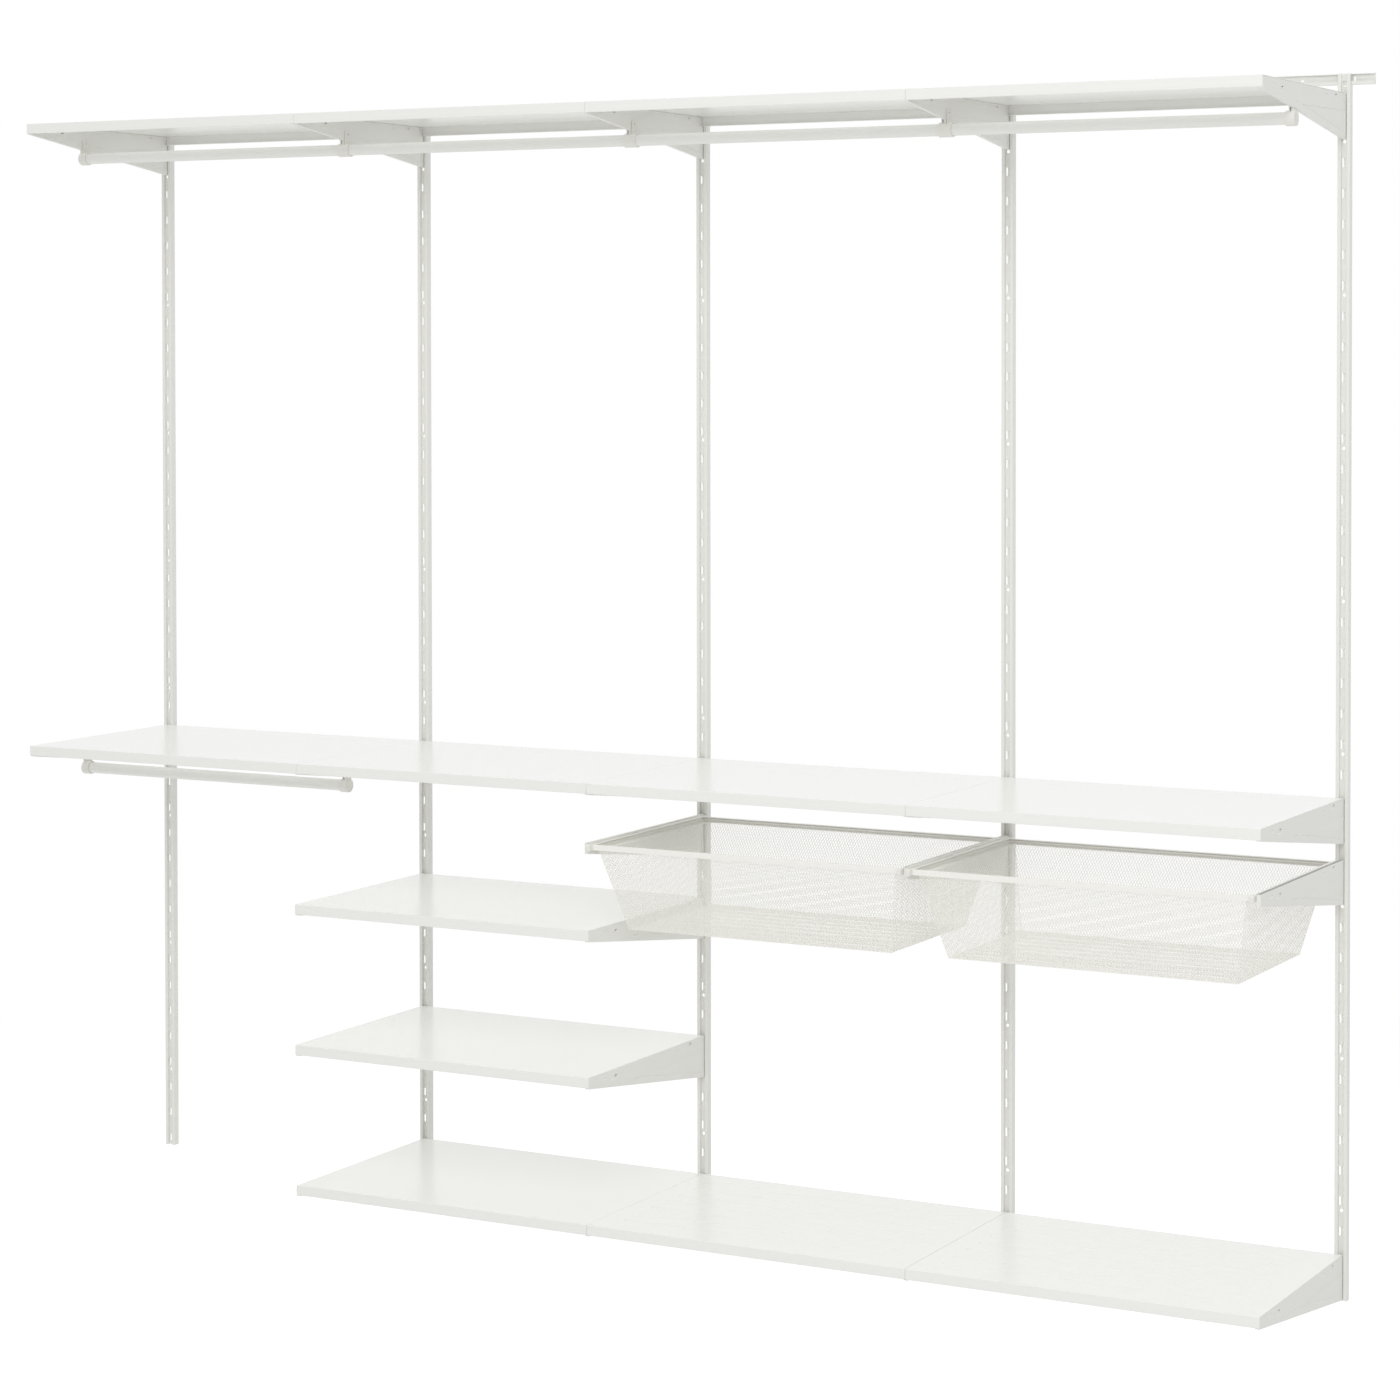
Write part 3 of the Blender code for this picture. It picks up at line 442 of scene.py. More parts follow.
def model_uprights():
    """Slotted uprights: rounded folds, and a sunk web that parts each row into two slots."""
    recess, sheet = 0.005, 0.0012        # the sunk floor behind the lips, and its metal
    window_half = 0.00725                # half the height of the solid's window
    sunk, foot = 0.0022, 0.0014          # how far the web lies back, and how thick its feet are
    clearance = 0.0001                   # from the floor's face to the web's
    low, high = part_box("upright_1")
    post = welded_copy("upright_1", "slotted_upright_1")
    centre = (low.x + high.x) / 2
    lips = sorted({round(abs(v.co.x - centre), 5) for v in post.data.vertices
                   if near(v.co.y, low.y)})

    def fold(a, b):
        upright = near(a.x, b.x) and near(a.y, b.y) and not near(a.z, b.z)
        return upright and near(a.y, low.y) and near(abs(a.x - centre), lips[0], lips[-1])

    round_edges(post, fold, sizes().fold, FOLD_SEGMENTS)
    rows = int((high.z - low.z - SLOT_FIRST) / SLOT_PITCH) + 1
    floor_front = low.y + recess
    floor_back = floor_front + sheet
    reach = window_half + SMALL_OVERLAP
    middle = high.z - SLOT_FIRST
    half = sizes().slot_web / 2
    web = new_block("slot_webs", (centre - half, floor_front + clearance, middle - reach),
                    (centre + half, floor_back + sunk, middle + reach))
    window = new_block("slot_web_window",
                       (centre - 2 * half, floor_front - sunk, middle - reach + foot),
                       (centre + 2 * half, floor_front + sunk, middle + reach - foot))
    combine(web, window, "DIFFERENCE")
    apply_modifier(web, "ARRAY", count=rows, use_relative_offset=False,
                   use_constant_offset=True, constant_offset_displace=(0, 0, -SLOT_PITCH))
    combine(post, web, "UNION")
    smooth_folds(post)
    dress_copies(post, "upright_1", like("upright_"), powder_coated_steel(), "powder_white",
                 "slotted_")


def new_drill(radius, plates, reach, height, stretch=1):
    """A small round tool across both plates of a bracket, drawn out along them by stretch."""
    bpy.ops.object.select_all(action="DESELECT")
    bpy.ops.mesh.primitive_cylinder_add(
        vertices=12, radius=radius, depth=2 * (plates[1] - plates[0]), scale=(1, stretch, 1),
        location=((plates[0] + plates[1]) / 2, -reach, height), rotation=(0, math.pi / 2, 0))
    return bpy.context.object


def press_triangle(arm, side, inward):
    """Level the sunk triangle of one plate and press a line round it, steep on its outer side.
    inward is the way into the bracket along X."""
    sunk, least_area = 0.0005, 0.001     # depth of the solid's triangle, and how big it is
    depth, steep, gentle = 0.0011, 0.0003, 0.0022
    start_edit(arm, "FACE")
    if not pick_faces(arm, lambda middle, normal: near(middle.x, side + inward * sunk)
                      and normal.x * inward < -FACING):
        raise RuntimeError(f"{arm.name} has no pressed triangle")
    bpy.ops.transform.translate(value=(-inward * sunk, 0, 0))
    bpy.ops.mesh.select_all(action="SELECT")
    bpy.ops.mesh.remove_doubles(threshold=TOLERANCE)
    bpy.ops.mesh.select_all(action="DESELECT")
    work = bmesh.from_edit_mesh(arm.data)
    for face in work.faces:
        if len(face.verts) == 3 and near(face.calc_center_median().x, side):
            face.select_set(abs(face.normal.x) > FACING and face.calc_area() > least_area)
    bmesh.update_edit_mesh(arm.data)
    bpy.ops.mesh.inset(thickness=steep, depth=-depth)
    bpy.ops.mesh.inset(thickness=gentle, depth=depth)
    bpy.ops.object.mode_set(mode="OBJECT")


def model_brackets():
    """Hook-in brackets: rounded folds, a pressed line round the triangle of each plate, pressed
    dimples with a small long hole above every other one, and two pin holes."""
    # Reach from the wall and drop below the top edge
    dimples = ((0.359, 0.0090), (0.325, 0.0150), (0.113, 0.0080), (0.068, 0.0090))
    dimple_size = (0.0010, 0.0100, 0.0022)
    hole_radius, hole_stretch = 0.0012, 3.4
    hole_back, hole_rise = 0.005, 0.0044             # from its dimple
    pins, pin_radius, pin_drop = (0.256, 0.246), 0.0014, 0.029
    edge_off, long_edge = 0.0002, 0.01   # farthest from the lower edge's line, and least length
    low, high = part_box("bracket_top_1")
    arm = welded_copy("bracket_top_1", "hook_bracket_top_1")
    nose_low = min(v.co.z for v in arm.data.vertices if near(v.co.y, low.y))
    heel = max((v.co for v in arm.data.vertices if near(v.co.z, low.z)), key=lambda p: p.y)

    def on_lower_edge(point):
        share = (point.y - low.y) / (heel.y - low.y)
        return abs(point.z - (nose_low + share * (heel.z - nose_low))) < edge_off

    def fold(a, b):
        outer = near(a.x, b.x) and near(a.x, low.x, high.x)
        nose = near(a.y, low.y) and near(b.y, low.y)
        lower = abs(a.y - b.y) > long_edge and on_lower_edge(a) and on_lower_edge(b)
        return outer and (nose or lower)

    round_edges(arm, fold, sizes().fold, FOLD_SEGMENTS)
    press_triangle(arm, low.x, 1)
    press_triangle(arm, high.x, -1)
    plates = (low.x, high.x)
    tools = []
    for side in plates:
        for reach, drop in dimples:
            bpy.ops.object.select_all(action="DESELECT")
            bpy.ops.mesh.primitive_uv_sphere_add(
                segments=14, ring_count=8, radius=1, location=(side, -reach, high.z - drop),
                scale=dimple_size)
            tools.append(bpy.context.object)
    for reach, drop in dimples[1::2]:
        tools.append(new_drill(hole_radius, plates, reach - hole_back,
                               high.z - drop + hole_rise, hole_stretch))
    for reach in pins:
        tools.append(new_drill(pin_radius, plates, reach, high.z - pin_drop))
    select_only(*tools)
    bpy.ops.object.join()
    combine(arm, bpy.context.object, "DIFFERENCE")
    smooth_folds(arm)
    dress_copies(arm, "bracket_top_1", like("bracket_"), powder_coated_steel(), "powder_white",
                 "hook_")


def round_long_folds(shelf, low, high):
    """Round the four long edges of a shelf's front and back, a little tighter than a post's."""
    tight = 0.9

    def fold(a, b):
        return along_x(a, b) and near(a.y, low.y, high.y) and near(a.z, low.z, high.z)

    round_edges(shelf, fold, tight * sizes().fold, FOLD_SEGMENTS)


def model_shelves():
    """Folded shelves: round front and back folds, a small break where the side lips turn.
    The ends that no shelf follows run on over the bracket."""
    side_break = 0.3                     # of the fold radius
    for group in like_ends(like("shelf_")):
        low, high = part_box(group[0])
        shelf = welded_copy(group[0], "folded_" + group[0])

        def side_fold(a, b):
            along = near(a.x, b.x) and near(a.z, b.z) and not near(a.y, b.y)
            return along and near(a.x, low.x, high.x) and near(a.z, high.z)

        round_long_folds(shelf, low, high)
        round_edges(shelf, side_fold, side_break * sizes().fold, 2)
        smooth_folds(shelf)
        dress_copies(shelf, group[0], group, coil_coated_sheet(), "shelf_white", "folded_")


def model_shoe_shelves():
    """Grooved shelves: the same folds, and shallow pressed grooves with soft shoulders."""
    depth, shallow = 0.0012, 0.0004      # of a groove in the solid, and as it is drawn
    shoulder, margin, least_length = 0.0009, 0.03, 0.1
    for group in like_ends(like("shoe_shelf_")):
        low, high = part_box(group[0])
        shelf = welded_copy(group[0], "grooved_" + group[0])
        start_edit(shelf, "FACE")
        if not pick_faces(shelf, lambda middle, normal: near(middle.z, high.z - depth)
                          and normal.z > FACING):
            raise RuntimeError(f"{shelf.name} has no grooves")
        bpy.ops.transform.translate(value=(0, 0, depth - shallow))
        bpy.ops.object.mode_set(mode="OBJECT")

        def groove(a, b):
            along = along_x(a, b) and abs(a.x - b.x) > least_length
            inside = low.y + margin < a.y < high.y - margin
            return along and inside and near(a.z, high.z, high.z - shallow)

        round_long_folds(shelf, low, high)
        round_edges(shelf, groove, shoulder, FOLD_SEGMENTS)
        smooth_folds(shelf)
        dress_copies(shelf, group[0], group, coil_coated_sheet(), "shelf_white", "grooved_")


def model_cup(name, at_x, axis, top, left, right):
    """A cup for one or two tube ends, turned about the tube's axis, on a flat neck inside the
    bracket and with a strap up to this height outside it."""
    reach, cheek, bore = 0.0125, 0.0038, 0.0103      # with a mouth, without one, and the mouth
    rim_break, neck_break, strap_corner = 0.0005, 0.0008, 0.003
    neck_half, neck_start, neck_drop = 0.008, 0.006, 0.002
    strap_half, strap_start, strap_span = 0.009, 0.003, (0.0041, 0.0056)
    play, past = 0.0008, 0.001           # round the cup, and of a tool beyond the strap
    hole, hole_drop = 0.0017, 0.0065
    start = at_x - (reach if left else cheek)
    stop = at_x + (reach if right else cheek)
    cup = new_round(name, CUP_RADIUS, start, stop, axis)
    start_edit(cup, "FACE")
    for side, wanted, mouth in ((-1, left, start), (1, right, stop)):
        if not wanted:
            continue
        bpy.ops.mesh.select_all(action="DESELECT")
        pick_faces(cup, lambda middle, normal: near(middle.x, mouth) and abs(normal.x) > FACING)
        bpy.ops.mesh.inset(thickness=CUP_RADIUS - bore)
        bpy.ops.mesh.extrude_region_move(TRANSFORM_OT_translate={
            "value": (at_x + side * CUP_DISC - mouth, 0, 0)})
    bpy.ops.object.mode_set(mode="OBJECT")

    def rim(a, b):
        return near(a.x, b.x) and near(a.x, start, stop)

    round_edges(cup, rim, rim_break, 2)
    neck = new_block(name + "_neck",
                     (at_x - CUP_DISC, axis[0] - neck_half, axis[1] + neck_start),
                     (at_x + CUP_DISC, axis[0] + neck_half, top - neck_drop))
    round_edges(neck, lambda a, b: near(a.x, b.x) and near(a.y, b.y), neck_break, 2)
    combine(cup, neck, "UNION")
    for side, wanted in ((-1, left), (1, right)):
        if not wanted:
            continue
        face, back = sorted(at_x + side * off for off in strap_span)
        strap = new_block(name + "_strap", (face, axis[0] - strap_half, axis[1] + strap_start),
                          (back, axis[0] + strap_half, top))
        round_edges(strap, lambda a, b: not near(a.x, b.x) and near(a.z, top),
                    strap_corner, 4)
        for label, radius, centre in (("strap_arch", bore + play, axis),
                                      ("strap_hole", hole, (axis[0], top - hole_drop))):
            tool = new_round(label, radius, face - past, back + past, centre)
            combine(strap, tool, "DIFFERENCE")
        combine(cup, strap, "UNION")
    smooth_folds(cup)
    return cup


def model_tubes():
    """Clothes tubes, hollow and round, and the cups that carry their ends.  A solid whose tube
    has a cup on it is higher than a bare tube and reaches past the centre of its bracket."""
    wall, play = 0.0012, 0.0003
    bare_height, overhang, one_sided = 0.022, 0.001, 0.01
    flat = math.cos(math.pi / 12)        # the solids' tubes and cups rest on one of 12 flats
    base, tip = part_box("tube_holder_top_2")
    axis_y = (base.y + tip.y) / 2
    for node in like("tube_top_", "tube_middle_"):
        low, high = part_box(node)
        left = round(low.x / SECTION_PITCH) * SECTION_PITCH
        right = round(high.x / SECTION_PITCH) * SECTION_PITCH
        resting = CUP_RADIUS if high.z - low.z > bare_height else TUBE_RADIUS
        axis = (axis_y, low.z + flat * resting)
        tube = new_round("clothes_" + node, TUBE_RADIUS, left + CUP_DISC + play,
                         right - CUP_DISC - play, axis, "NOTHING")
        apply_modifier(tube, "SOLIDIFY", thickness=wall, offset=-1, use_even_offset=True)
        face_outwards(tube)
        smooth_folds(tube)
        dress(tube, lacquered_tube(), WALL_BODY, "tube_white", node)
        for at_x, outer in ((left, low.x < left - overhang),
                            (right, high.x > right + overhang)):
            if outer:
                cup = model_cup(f"end_cup_{node}_{'left' if at_x == left else 'right'}", at_x,
                                axis, high.z, at_x == right, at_x == left)
                dress(cup, moulded_nylon(), WALL_BODY, "tube_white", node)
    for node in like("tube_holder_"):
        low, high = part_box(node)
        at_x = round((low.x + high.x) / 2 / SECTION_PITCH) * SECTION_PITCH
        axis = (axis_y, low.z + flat * CUP_RADIUS)
        cup = model_cup(node.replace("tube_holder", "tube_cup"), at_x, axis, high.z,
                        low.x < at_x - one_sided, high.x > at_x + one_sided)
        dress(cup, moulded_nylon(), WALL_BODY, "tube_white", node)


def model_runners():
    """The runners keep their folded shape and take the powder coat."""
    for node in like("basket_1_runner", "basket_2_runner"):
        node_named(node).material_slots[0].material = powder_coated_steel()


def new_ring(name, low, high, width):
    """A square ring between two corners, with a wall of this width."""
    ring = new_block(name, low, high)
    start_edit(ring, "FACE")
    pick_faces(ring, lambda middle, normal: abs(normal.z) > FACING)
    bpy.ops.mesh.inset(thickness=width)
    bpy.ops.mesh.bridge_edge_loops()
    bpy.ops.object.mode_set(mode="OBJECT")
    face_outwards(ring)
    return ring


def model_rims():
    """Basket rims: a channel all round that opens inwards, where the mesh turns up into it
    through its base, with a moulded cap on each front corner."""
    # The caps stand out beside and below the channel, above it, and in front of it
    cap_proud, cap_over, cap_front = 0.0013, 0.0017, 0.0118
    cap_wide, cap_round, cap_gap = 0.0077, 0.0022, 0.0003
    width, wall, passage, top_round = 0.0064, 0.001, 0.0041, 0.0008
    cut_width = 0.0070                   # cuts on through the channel's inner side
    low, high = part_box("basket_1_rim")
    base, top, front = low.z + cap_proud, high.z - cap_over, low.y + cap_front
    outer_x = low.x + cap_proud
    ring_low = Vector((outer_x, front, base))
    ring_high = Vector((low.x + high.x - outer_x, high.y, top))
    ring = new_ring("basket_1_channel_rim", ring_low, ring_high, width)
    for inset, bottom, upper in ((wall, base + wall, top - wall),
                                 (passage, base - wall, base + 2 * wall)):
        trough = new_ring("rim_trough", (ring_low.x + inset, ring_low.y + inset, bottom),
                          (ring_high.x - inset, ring_high.y - inset, upper), cut_width)
        combine(ring, trough, "DIFFERENCE")

    def top_edge(a, b):
        return near(a.z, top) and near(b.z, top) and (near(a.x, b.x) or near(a.y, b.y))

    round_edges(ring, top_edge, top_round, FOLD_SEGMENTS)
    face_outwards(ring)
    smooth_folds(ring)
    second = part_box("basket_2_rim")[0] - low
    other = copy_piece(ring, "basket_2_channel_rim", second)
    dress(ring, epoxy_coated_mesh(), "basket_1", "basket_white", "basket_1_rim")
    dress(other, epoxy_coated_mesh(), "basket_2", "basket_white", "basket_2_rim")

    def cap_edge(a, b):
        at_front = near(a.y, low.y) and near(b.y, low.y)
        return at_front or (near(a.z, b.z) and near(a.x, b.x))

    cap = new_block("basket_1_cap_left", low, (low.x + cap_wide, front - cap_gap, high.z))
    round_edges(cap, cap_edge, cap_round, 4)
    smooth_folds(cap, 50)
    across = Vector((high.x - low.x - cap_wide, 0, 0))
    caps = [(cap, "basket_1")]
    for body, side, offset in (("basket_1", "right", across), ("basket_2", "left", second),
                               ("basket_2", "right", second + across)):
        caps.append((copy_piece(cap, f"{body}_cap_{side}", offset), body))
    for piece, body in caps:
        dress(piece, moulded_nylon(), body, "basket_white")


def new_mesh_panel(name, corners, across_step, up_step):
    """One flat panel of expanded mesh between four corners: low left, low right, top right,
    top left.  The diamonds are across_step wide and up_step high, and those cut by a slanting
    edge keep a strand along it."""
    least_slant, least_room = 0.01, 1.5  # of a side edge, and of an opening in half strands
    low_left, low_right, top_right, top_left = corners
    across = (top_right - top_left).normalized()
    rise = (top_left + top_right - low_left - low_right) / 2
    up = rise.normalized()
    wide = max((top_right - top_left).length, (low_right - low_left).length)
    middle = (low_left + low_right + top_left + top_right) / 4
    normal = across.cross(up)
    turn = Matrix((across, up, normal)).transposed().to_euler()
    bpy.ops.object.select_all(action="DESELECT")
    columns = round(wide / across_step)
    rows = max(1, round(rise.length / up_step))
    bpy.ops.mesh.primitive_grid_add(x_subdivisions=columns, y_subdivisions=rows, size=1,
                                    location=middle, rotation=turn)
    panel = bpy.context.object
    panel.name = name
    panel.scale = (wide, rise.length, 1)
    settle(panel)

    start_edit(panel, "FACE")
    count = len(bmesh.from_edit_mesh(panel.data).verts)
    bpy.ops.mesh.select_all(action="SELECT")
    bpy.ops.mesh.poke()
    bpy.ops.mesh.select_mode(type="EDGE")
    bpy.ops.mesh.select_all(action="DESELECT")
    work = bmesh.from_edit_mesh(panel.data)
    work.verts.index_update()
    for edge in work.edges:
        first, second = edge.verts
        if first.index < count and second.index < count and not edge.is_boundary:
            edge.select_set(True)
    bmesh.update_edit_mesh(panel.data)
    bpy.ops.mesh.dissolve_edges(use_verts=False, use_face_split=False)

    for low, top, outward in ((low_left, top_left, -1), (low_right, top_right, 1)):
        if abs((top - low).normalized().dot(across)) > least_slant:
            bpy.ops.mesh.select_all(action="SELECT")
            side = (top - low).cross(normal).normalized()
            if side.dot(across) * outward < 0:
                side = -side
            bpy.ops.mesh.bisect(plane_co=low, plane_no=side, clear_outer=True)

    half = sizes().strand / 2
    bpy.ops.mesh.select_mode(type="FACE")
    bpy.ops.mesh.select_all(action="DESELECT")
    work = bmesh.from_edit_mesh(panel.data)
    for face in work.faces:
        inner = 2 * face.calc_area() / face.calc_perimeter()
        if inner > least_room * half:
            face.select_set(True)
    bmesh.update_edit_mesh(panel.data)
    bpy.ops.mesh.inset(thickness=half, use_individual=True, use_even_offset=True)
    bpy.ops.mesh.delete(type="FACE")
    bpy.ops.object.mode_set(mode="OBJECT")
    return panel


def raise_ribs(panel, low_left, top_right, pitch, width, height):
    """Press ribs along X into the bottom mesh, short of its edges."""
    margin = 0.030
    start_edit(panel, "VERT")
    work = bmesh.from_edit_mesh(panel.data)
    middle = (low_left.y + top_right.y) / 2
    count = int((top_right.y - low_left.y - 2 * margin) / pitch) // 2
    for vert in work.verts:
        inside = low_left.x + margin < vert.co.x < top_right.x - margin
        row = round((vert.co.y - middle) / pitch)
        if inside and abs(row) <= count and abs(vert.co.y - middle - row * pitch) < width / 2:
            vert.select_set(True)
    bmesh.update_edit_mesh(panel.data)
    bpy.ops.transform.translate(value=(0, 0, height))
    bpy.ops.object.mode_set(mode="OBJECT")


def model_tubs():
    """Basket tubs of expanded mesh: four leaning walls and a ribbed bottom, folded from one
    sheet, so that the diamonds lie the same way in the walls as in the bottom."""
    sheet = 0.0012                       # of the solid, whose middle the mesh follows
    half_top, half_mouth, half_low = 0.2901, 0.2790, 0.2480
    front_lean, back_lean, turn_up = 0.0467, 0.0445, 0.008
    rib_pitch, rib_width = 3.5 * sizes().mesh_long, 0.008
    collar_start, collar_end = 0.0044, 0.0062        # of its solid edge, above the bend
    low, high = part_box("basket_1_tub")
    centre = (low.x + high.x) / 2
    front_top, back_top = low.y + sheet / 2, high.y - sheet / 2
    front_low, back_low = front_top + front_lean, back_top - back_lean
    bend, floor_z = high.z - turn_up, low.z + sheet / 2

    strip_low, strip_high = bend + collar_start, bend + collar_end

    def level(half, front, back, z):
        """The tub's corners at one level, round from the left front one."""
        return [Vector((centre + side * half, y, z))
                for side, y in ((-1, front), (1, front), (1, back), (-1, back))]

    lows = level(half_low, front_low, back_low, floor_z)
    tops = level(half_mouth, front_top, back_top, bend)
    rims = level(half_top, front_top, back_top, bend)
    rises = level(half_top, front_top, back_top, strip_low)
    short, long = sizes().mesh_short, sizes().mesh_long
    walls = (("front", 0, 1, short, long), ("right", 1, 2, long, short),
             ("back", 2, 3, short, long), ("left", 3, 0, long, short))
    panels = [new_mesh_panel("basket_1_mesh_" + label,
                             (lows[a], lows[b], tops[b], tops[a]), across, up)
              for label, a, b, across, up in walls]
    base = new_mesh_panel("basket_1_mesh_bottom", lows, short, long)
    raise_ribs(base, lows[0], lows[2], rib_pitch, rib_width, sizes().rib)
    panels.append(base)
    bands = [("collar_" + label, (rims[a], rims[b], rises[b], rises[a]), strip_low - bend)
             for label, a, b, _, _ in walls]
    bands += [("ledge_" + label, (tops[a], tops[b], rims[b], rims[a]), half_top - half_mouth)
              for label, a, b, _, _ in walls[1::2]]
    panels += [new_mesh_panel("basket_1_" + label, corners, short, height)
               for label, corners, height in bands]
    for panel in panels:
        apply_modifier(panel, "SOLIDIFY", thickness=sizes().strand_depth, offset=0,
                       use_even_offset=False)
    collar = new_ring("basket_1_collar", (low.x, low.y, strip_low), (high.x, high.y, strip_high),
                      sheet)
    smooth_folds(collar)
    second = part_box("basket_2_tub")[0] - low
    for panel in (*panels, collar):
        other = copy_piece(panel, panel.name.replace("basket_1", "basket_2"), second)
        for piece, body in ((panel, "basket_1"), (other, "basket_2")):
            covered = [body + "_tub"] if panel is collar else []
            dress(piece, epoxy_coated_mesh(), body, "basket_white", *covered)


def studio_floor():
    """Plain white seamless floor: matt round the object, where it keeps the soft shadow, and
    further out it runs into the white of the background without a horizon."""
    shade, lift_strength = 0.98, 0.32
    middle, fade_start, fade_end = (1.2, -0.2), 1.6, 4.0
    material = bpy.data.materials.new("studio_floor")
    tree = emptied_tree(material)
    place = add(tree, "ShaderNodeTexCoord").outputs["Object"]
    tint = cloudy_tint(tree, place, colours().floor, shade, {"Scale": 1.2, "Detail": 2.0})
    matt = add(tree, "ShaderNodeBsdfPrincipled", {}, {"Roughness": 0.9, "IOR": 1.45},
               {"Base Color": tint})
    path = add(tree, "ShaderNodeLightPath")
    lift = add(tree, "ShaderNodeMath", {"operation": "MULTIPLY"}, {1: lift_strength},
               {0: path.outputs["Is Camera Ray"]})
    glow = add(tree, "ShaderNodeEmission", {}, {"Color": (1, 1, 1, 1)},
               {"Strength": lift.outputs[0]})
    near_floor = add(tree, "ShaderNodeAddShader", {}, {},
                     {0: matt.outputs["BSDF"], 1: glow.outputs["Emission"]})
    white = add(tree, "ShaderNodeEmission", {}, {"Color": (1, 1, 1, 1), "Strength": 1.0})
    centred = add(tree, "ShaderNodeMapping", {"vector_type": "POINT"},
                  {"Location": (-middle[0], -middle[1], 0), "Scale": (1, 1, 0)},
                  {"Vector": place})
    away = add(tree, "ShaderNodeVectorMath", {"operation": "LENGTH"}, {},
               {0: centred.outputs["Vector"]})
    fade = add(tree, "ShaderNodeMapRange", {"interpolation_type": "SMOOTHSTEP"},
               {"From Min": fade_start, "From Max": fade_end},
               {"Value": away.outputs["Value"]})
    share = add(tree, "ShaderNodeMath", {"operation": "MULTIPLY"}, {},
                {0: path.outputs["Is Camera Ray"], 1: fade.outputs[0]})
    mix = add(tree, "ShaderNodeMixShader", {}, {},
              {0: share.outputs[0], 1: near_floor.outputs[0], 2: white.outputs[0]})
    add(tree, "ShaderNodeOutputMaterial", {}, {}, {"Surface": mix.outputs[0]})
    return material


def light_world():
    """White to the camera and in reflections, and an even light on everything else."""
    even_strength = 0.63
    world = bpy.data.worlds.new("studio")
    bpy.context.scene.world = world
    tree = emptied_tree(world)
    path = add(tree, "ShaderNodeLightPath")
    seen = add(tree, "ShaderNodeMath", {"operation": "MAXIMUM"}, {},
               {0: path.outputs["Is Camera Ray"], 1: path.outputs["Is Glossy Ray"]})
    seen = add(tree, "ShaderNodeMath", {"operation": "MAXIMUM"}, {},
               {0: seen.outputs[0], 1: path.outputs["Is Transmission Ray"]})
    light, white = (add(tree, "ShaderNodeBackground", {},
                        {"Color": (1, 1, 1, 1), "Strength": strength})
                    for strength in (even_strength, 1.0))
    mix = add(tree, "ShaderNodeMixShader", {}, {},
              {0: seen.outputs[0], 1: light.outputs[0], 2: white.outputs[0]})
    add(tree, "ShaderNodeOutputWorld", {}, {}, {"Surface": mix.outputs[0]})


def add_lamp(name, place, target, size, power):
    """A soft square lamp that looks at a point."""
    bpy.ops.object.select_all(action="DESELECT")
    turn = (Vector(target) - Vector(place)).to_track_quat("-Z", "Y").to_euler()
    bpy.ops.object.light_add(type="AREA", location=place, rotation=turn)
    lamp = bpy.context.object
    lamp.name = name
    lamp.data.shape = "SQUARE"
    lamp.data.size = size
    lamp.data.energy = power


def add_fill(name, direction, strength):
    """A weak sun without shadows, which lifts the faces that look towards this direction."""
    bpy.ops.object.select_all(action="DESELECT")
    turn = (-Vector(direction)).to_track_quat("-Z", "Y").to_euler()
    bpy.ops.object.light_add(type="SUN", rotation=turn)
    lamp = bpy.context.object
    lamp.name = name
    lamp.data.energy = strength
    lamp.data.angle = math.radians(30)
    lamp.data.use_shadow = False


def model_stage():
    """Floor, light and camera."""
    floor_size = 16
    low, high = (Vector(corner) for corner in SOLIDS_BOX)
    centre = (low + high) / 2
    bpy.ops.object.select_all(action="DESELECT")
    bpy.ops.mesh.primitive_plane_add(
        size=floor_size, location=(centre.x, centre.y, low.z - sizes().floor_gap))
    floor = bpy.context.object
    floor.name = "floor"
    settle(floor)
    floor.data.materials.append(studio_floor())
    light_world()
    add_fill("fill", direction=(0, -0.05, 1), strength=0.58)
    add_lamp("front_lamp", place=(3.6, -5.0, 2.0), target=(1.2, 0, -1.0), size=3.0, power=88)

    camera_data = bpy.data.cameras.new("camera")
    camera = bpy.data.objects.new("camera", camera_data)
    bpy.context.scene.collection.objects.link(camera)
    camera.location = CAMERA_PLACE
    camera.rotation_euler = (math.radians(90 - CAMERA_FALL), 0, math.radians(CAMERA_TURN))
    camera_data.sensor_width = CAMERA_SENSOR
    camera_data.lens = CAMERA_LENS
    camera_data.shift_x, camera_data.shift_y = CAMERA_SHIFT
    camera_data.clip_end = 60
    bpy.context.scene.camera = camera
    bpy.context.scene.view_settings.view_transform = "Standard"


class ClosetOperator:
    """What the operators share: each runs its own modelling step."""
    bl_options = {"REGISTER", "UNDO"}


class CLOSET_OT_rails(ClosetOperator, bpy.types.Operator):
    """Model the suspension rail in its four lengths"""
    bl_idname = "closet.rails"
    bl_label = "Suspension rail"

    def execute(self, context):
        model_rails()
        return {"FINISHED"}


class CLOSET_OT_uprights(ClosetOperator, bpy.types.Operator):
    """Model the slotted uprights"""
    bl_idname = "closet.uprights"
    bl_label = "Slotted uprights"

    def execute(self, context):
        model_uprights()
        return {"FINISHED"}


class CLOSET_OT_brackets(ClosetOperator, bpy.types.Operator):
    """Model the hook-in brackets"""
    bl_idname = "closet.brackets"
    bl_label = "Brackets"

    def execute(self, context):
        model_brackets()
        return {"FINISHED"}


class CLOSET_OT_shelves(ClosetOperator, bpy.types.Operator):
    """Model the plain folded shelves"""
    bl_idname = "closet.shelves"
    bl_label = "Shelves"

    def execute(self, context):
        model_shelves()
        return {"FINISHED"}


class CLOSET_OT_shoe_shelves(ClosetOperator, bpy.types.Operator):
    """Model the grooved shoe shelves"""
    bl_idname = "closet.shoe_shelves"
    bl_label = "Shoe shelves"

    def execute(self, context):
        model_shoe_shelves()
        return {"FINISHED"}


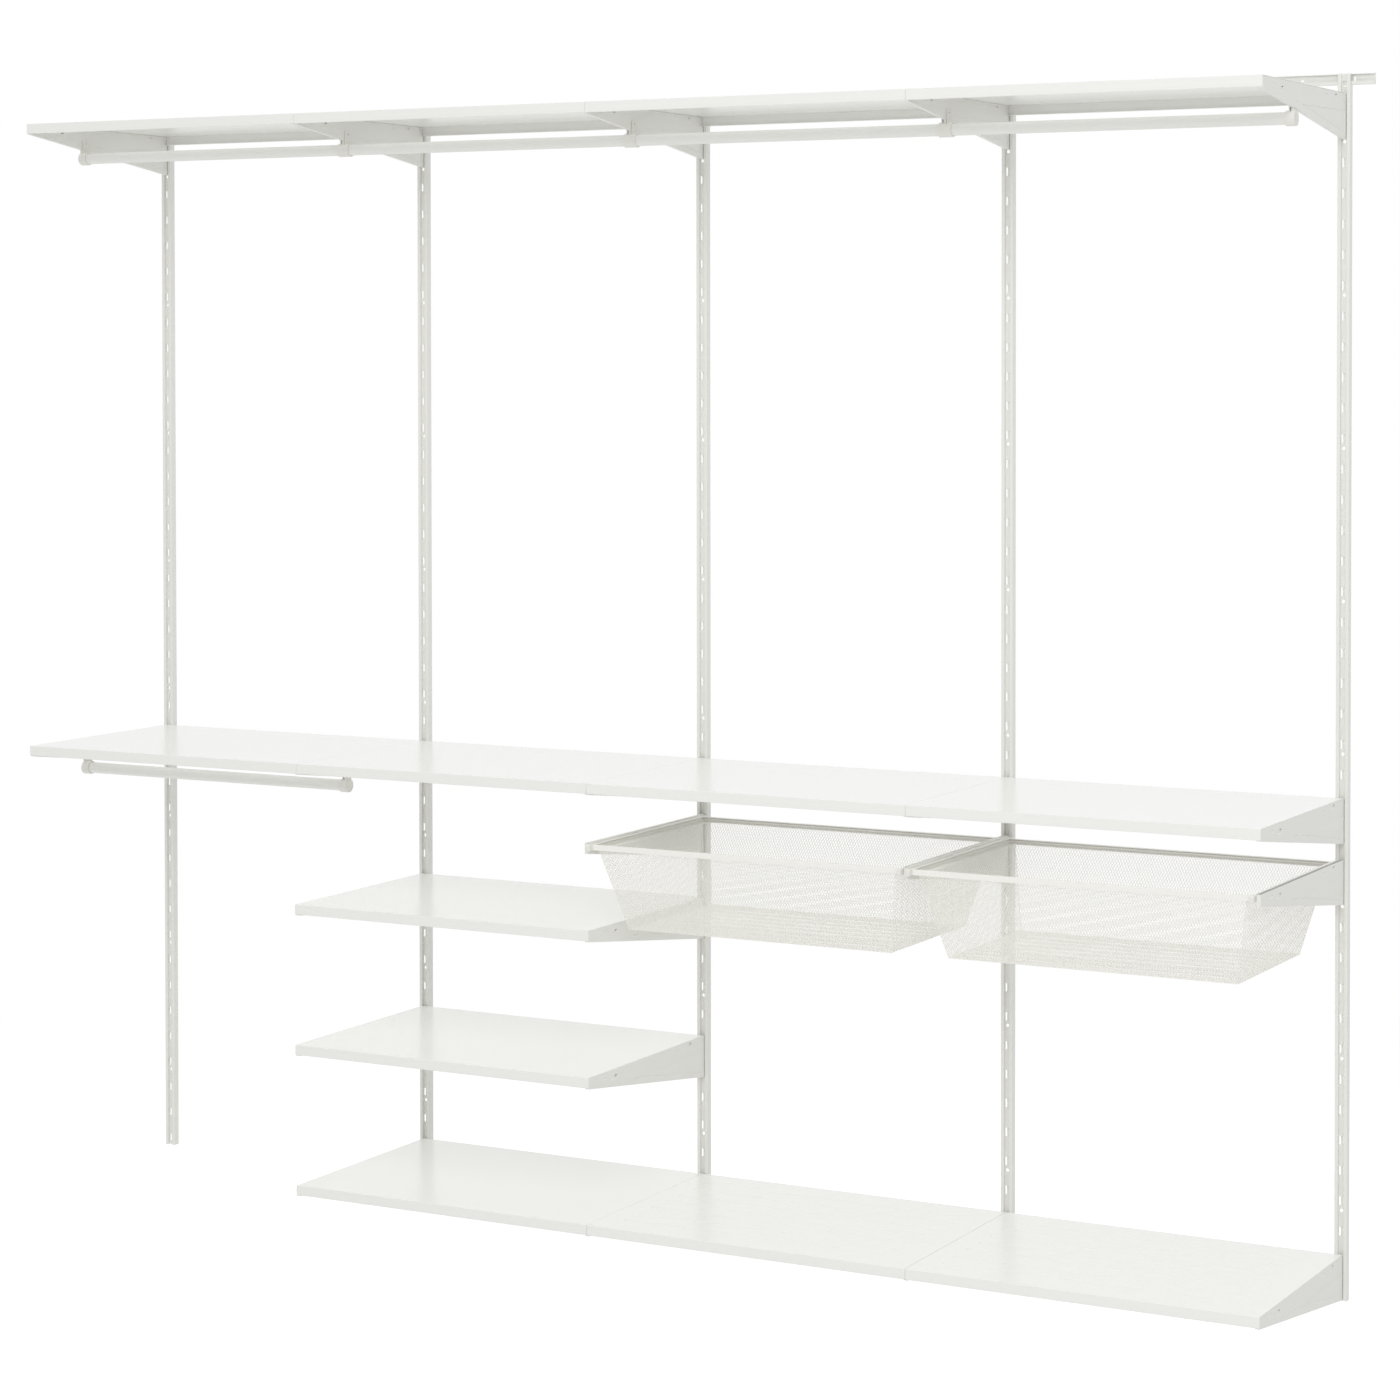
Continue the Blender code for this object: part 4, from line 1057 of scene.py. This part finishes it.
class CLOSET_OT_tubes(ClosetOperator, bpy.types.Operator):
    """Model the clothes tubes and their cups"""
    bl_idname = "closet.tubes"
    bl_label = "Clothes tubes"

    def execute(self, context):
        model_tubes()
        return {"FINISHED"}


class CLOSET_OT_runners(ClosetOperator, bpy.types.Operator):
    """Finish the basket runners"""
    bl_idname = "closet.runners"
    bl_label = "Basket runners"

    def execute(self, context):
        model_runners()
        return {"FINISHED"}


class CLOSET_OT_rims(ClosetOperator, bpy.types.Operator):
    """Model the basket rims and their end caps"""
    bl_idname = "closet.rims"
    bl_label = "Basket rims"

    def execute(self, context):
        model_rims()
        return {"FINISHED"}


class CLOSET_OT_tubs(ClosetOperator, bpy.types.Operator):
    """Model the expanded mesh tubs of the baskets"""
    bl_idname = "closet.tubs"
    bl_label = "Basket tubs"

    def execute(self, context):
        model_tubs()
        return {"FINISHED"}


class CLOSET_OT_stage(ClosetOperator, bpy.types.Operator):
    """Set up the floor, the light and the camera"""
    bl_idname = "closet.stage"
    bl_label = "Stage"

    def execute(self, context):
        model_stage()
        return {"FINISHED"}


STEPS = (CLOSET_OT_rails, CLOSET_OT_uprights, CLOSET_OT_brackets, CLOSET_OT_shelves,
         CLOSET_OT_shoe_shelves, CLOSET_OT_tubes, CLOSET_OT_runners, CLOSET_OT_rims,
         CLOSET_OT_tubs, CLOSET_OT_stage)


class CLOSET_PT_sidebar(bpy.types.Panel):
    """Sizes, colours and modelling steps of the closet system"""
    bl_idname = "CLOSET_PT_sidebar"
    bl_label = "Closet System"
    bl_space_type = "VIEW_3D"
    bl_region_type = "UI"
    bl_category = "Closet"

    def draw(self, context):
        for group in (context.scene.closet_sizes, context.scene.closet_colours):
            box = self.layout.box()
            for key in group.__annotations__:
                box.prop(group, key)
        for step in STEPS:
            self.layout.operator(step.bl_idname)


CLASSES = (ClosetSizes, ClosetColours, *STEPS, CLOSET_PT_sidebar)


def register():
    for item in CLASSES:
        bpy.utils.register_class(item)
    bpy.types.Scene.closet_sizes = PointerProperty(type=ClosetSizes)
    bpy.types.Scene.closet_colours = PointerProperty(type=ClosetColours)


def unregister():
    del bpy.types.Scene.closet_colours
    del bpy.types.Scene.closet_sizes
    for item in reversed(CLASSES):
        bpy.utils.unregister_class(item)


def main():
    """Model every piece in turn."""
    register()
    bpy.ops.closet.rails()
    bpy.ops.closet.uprights()
    bpy.ops.closet.brackets()
    bpy.ops.closet.shelves()
    bpy.ops.closet.shoe_shelves()
    bpy.ops.closet.tubes()
    bpy.ops.closet.runners()
    bpy.ops.closet.rims()
    bpy.ops.closet.tubs()
    bpy.ops.closet.stage()


if __name__ == "__main__":
    main()
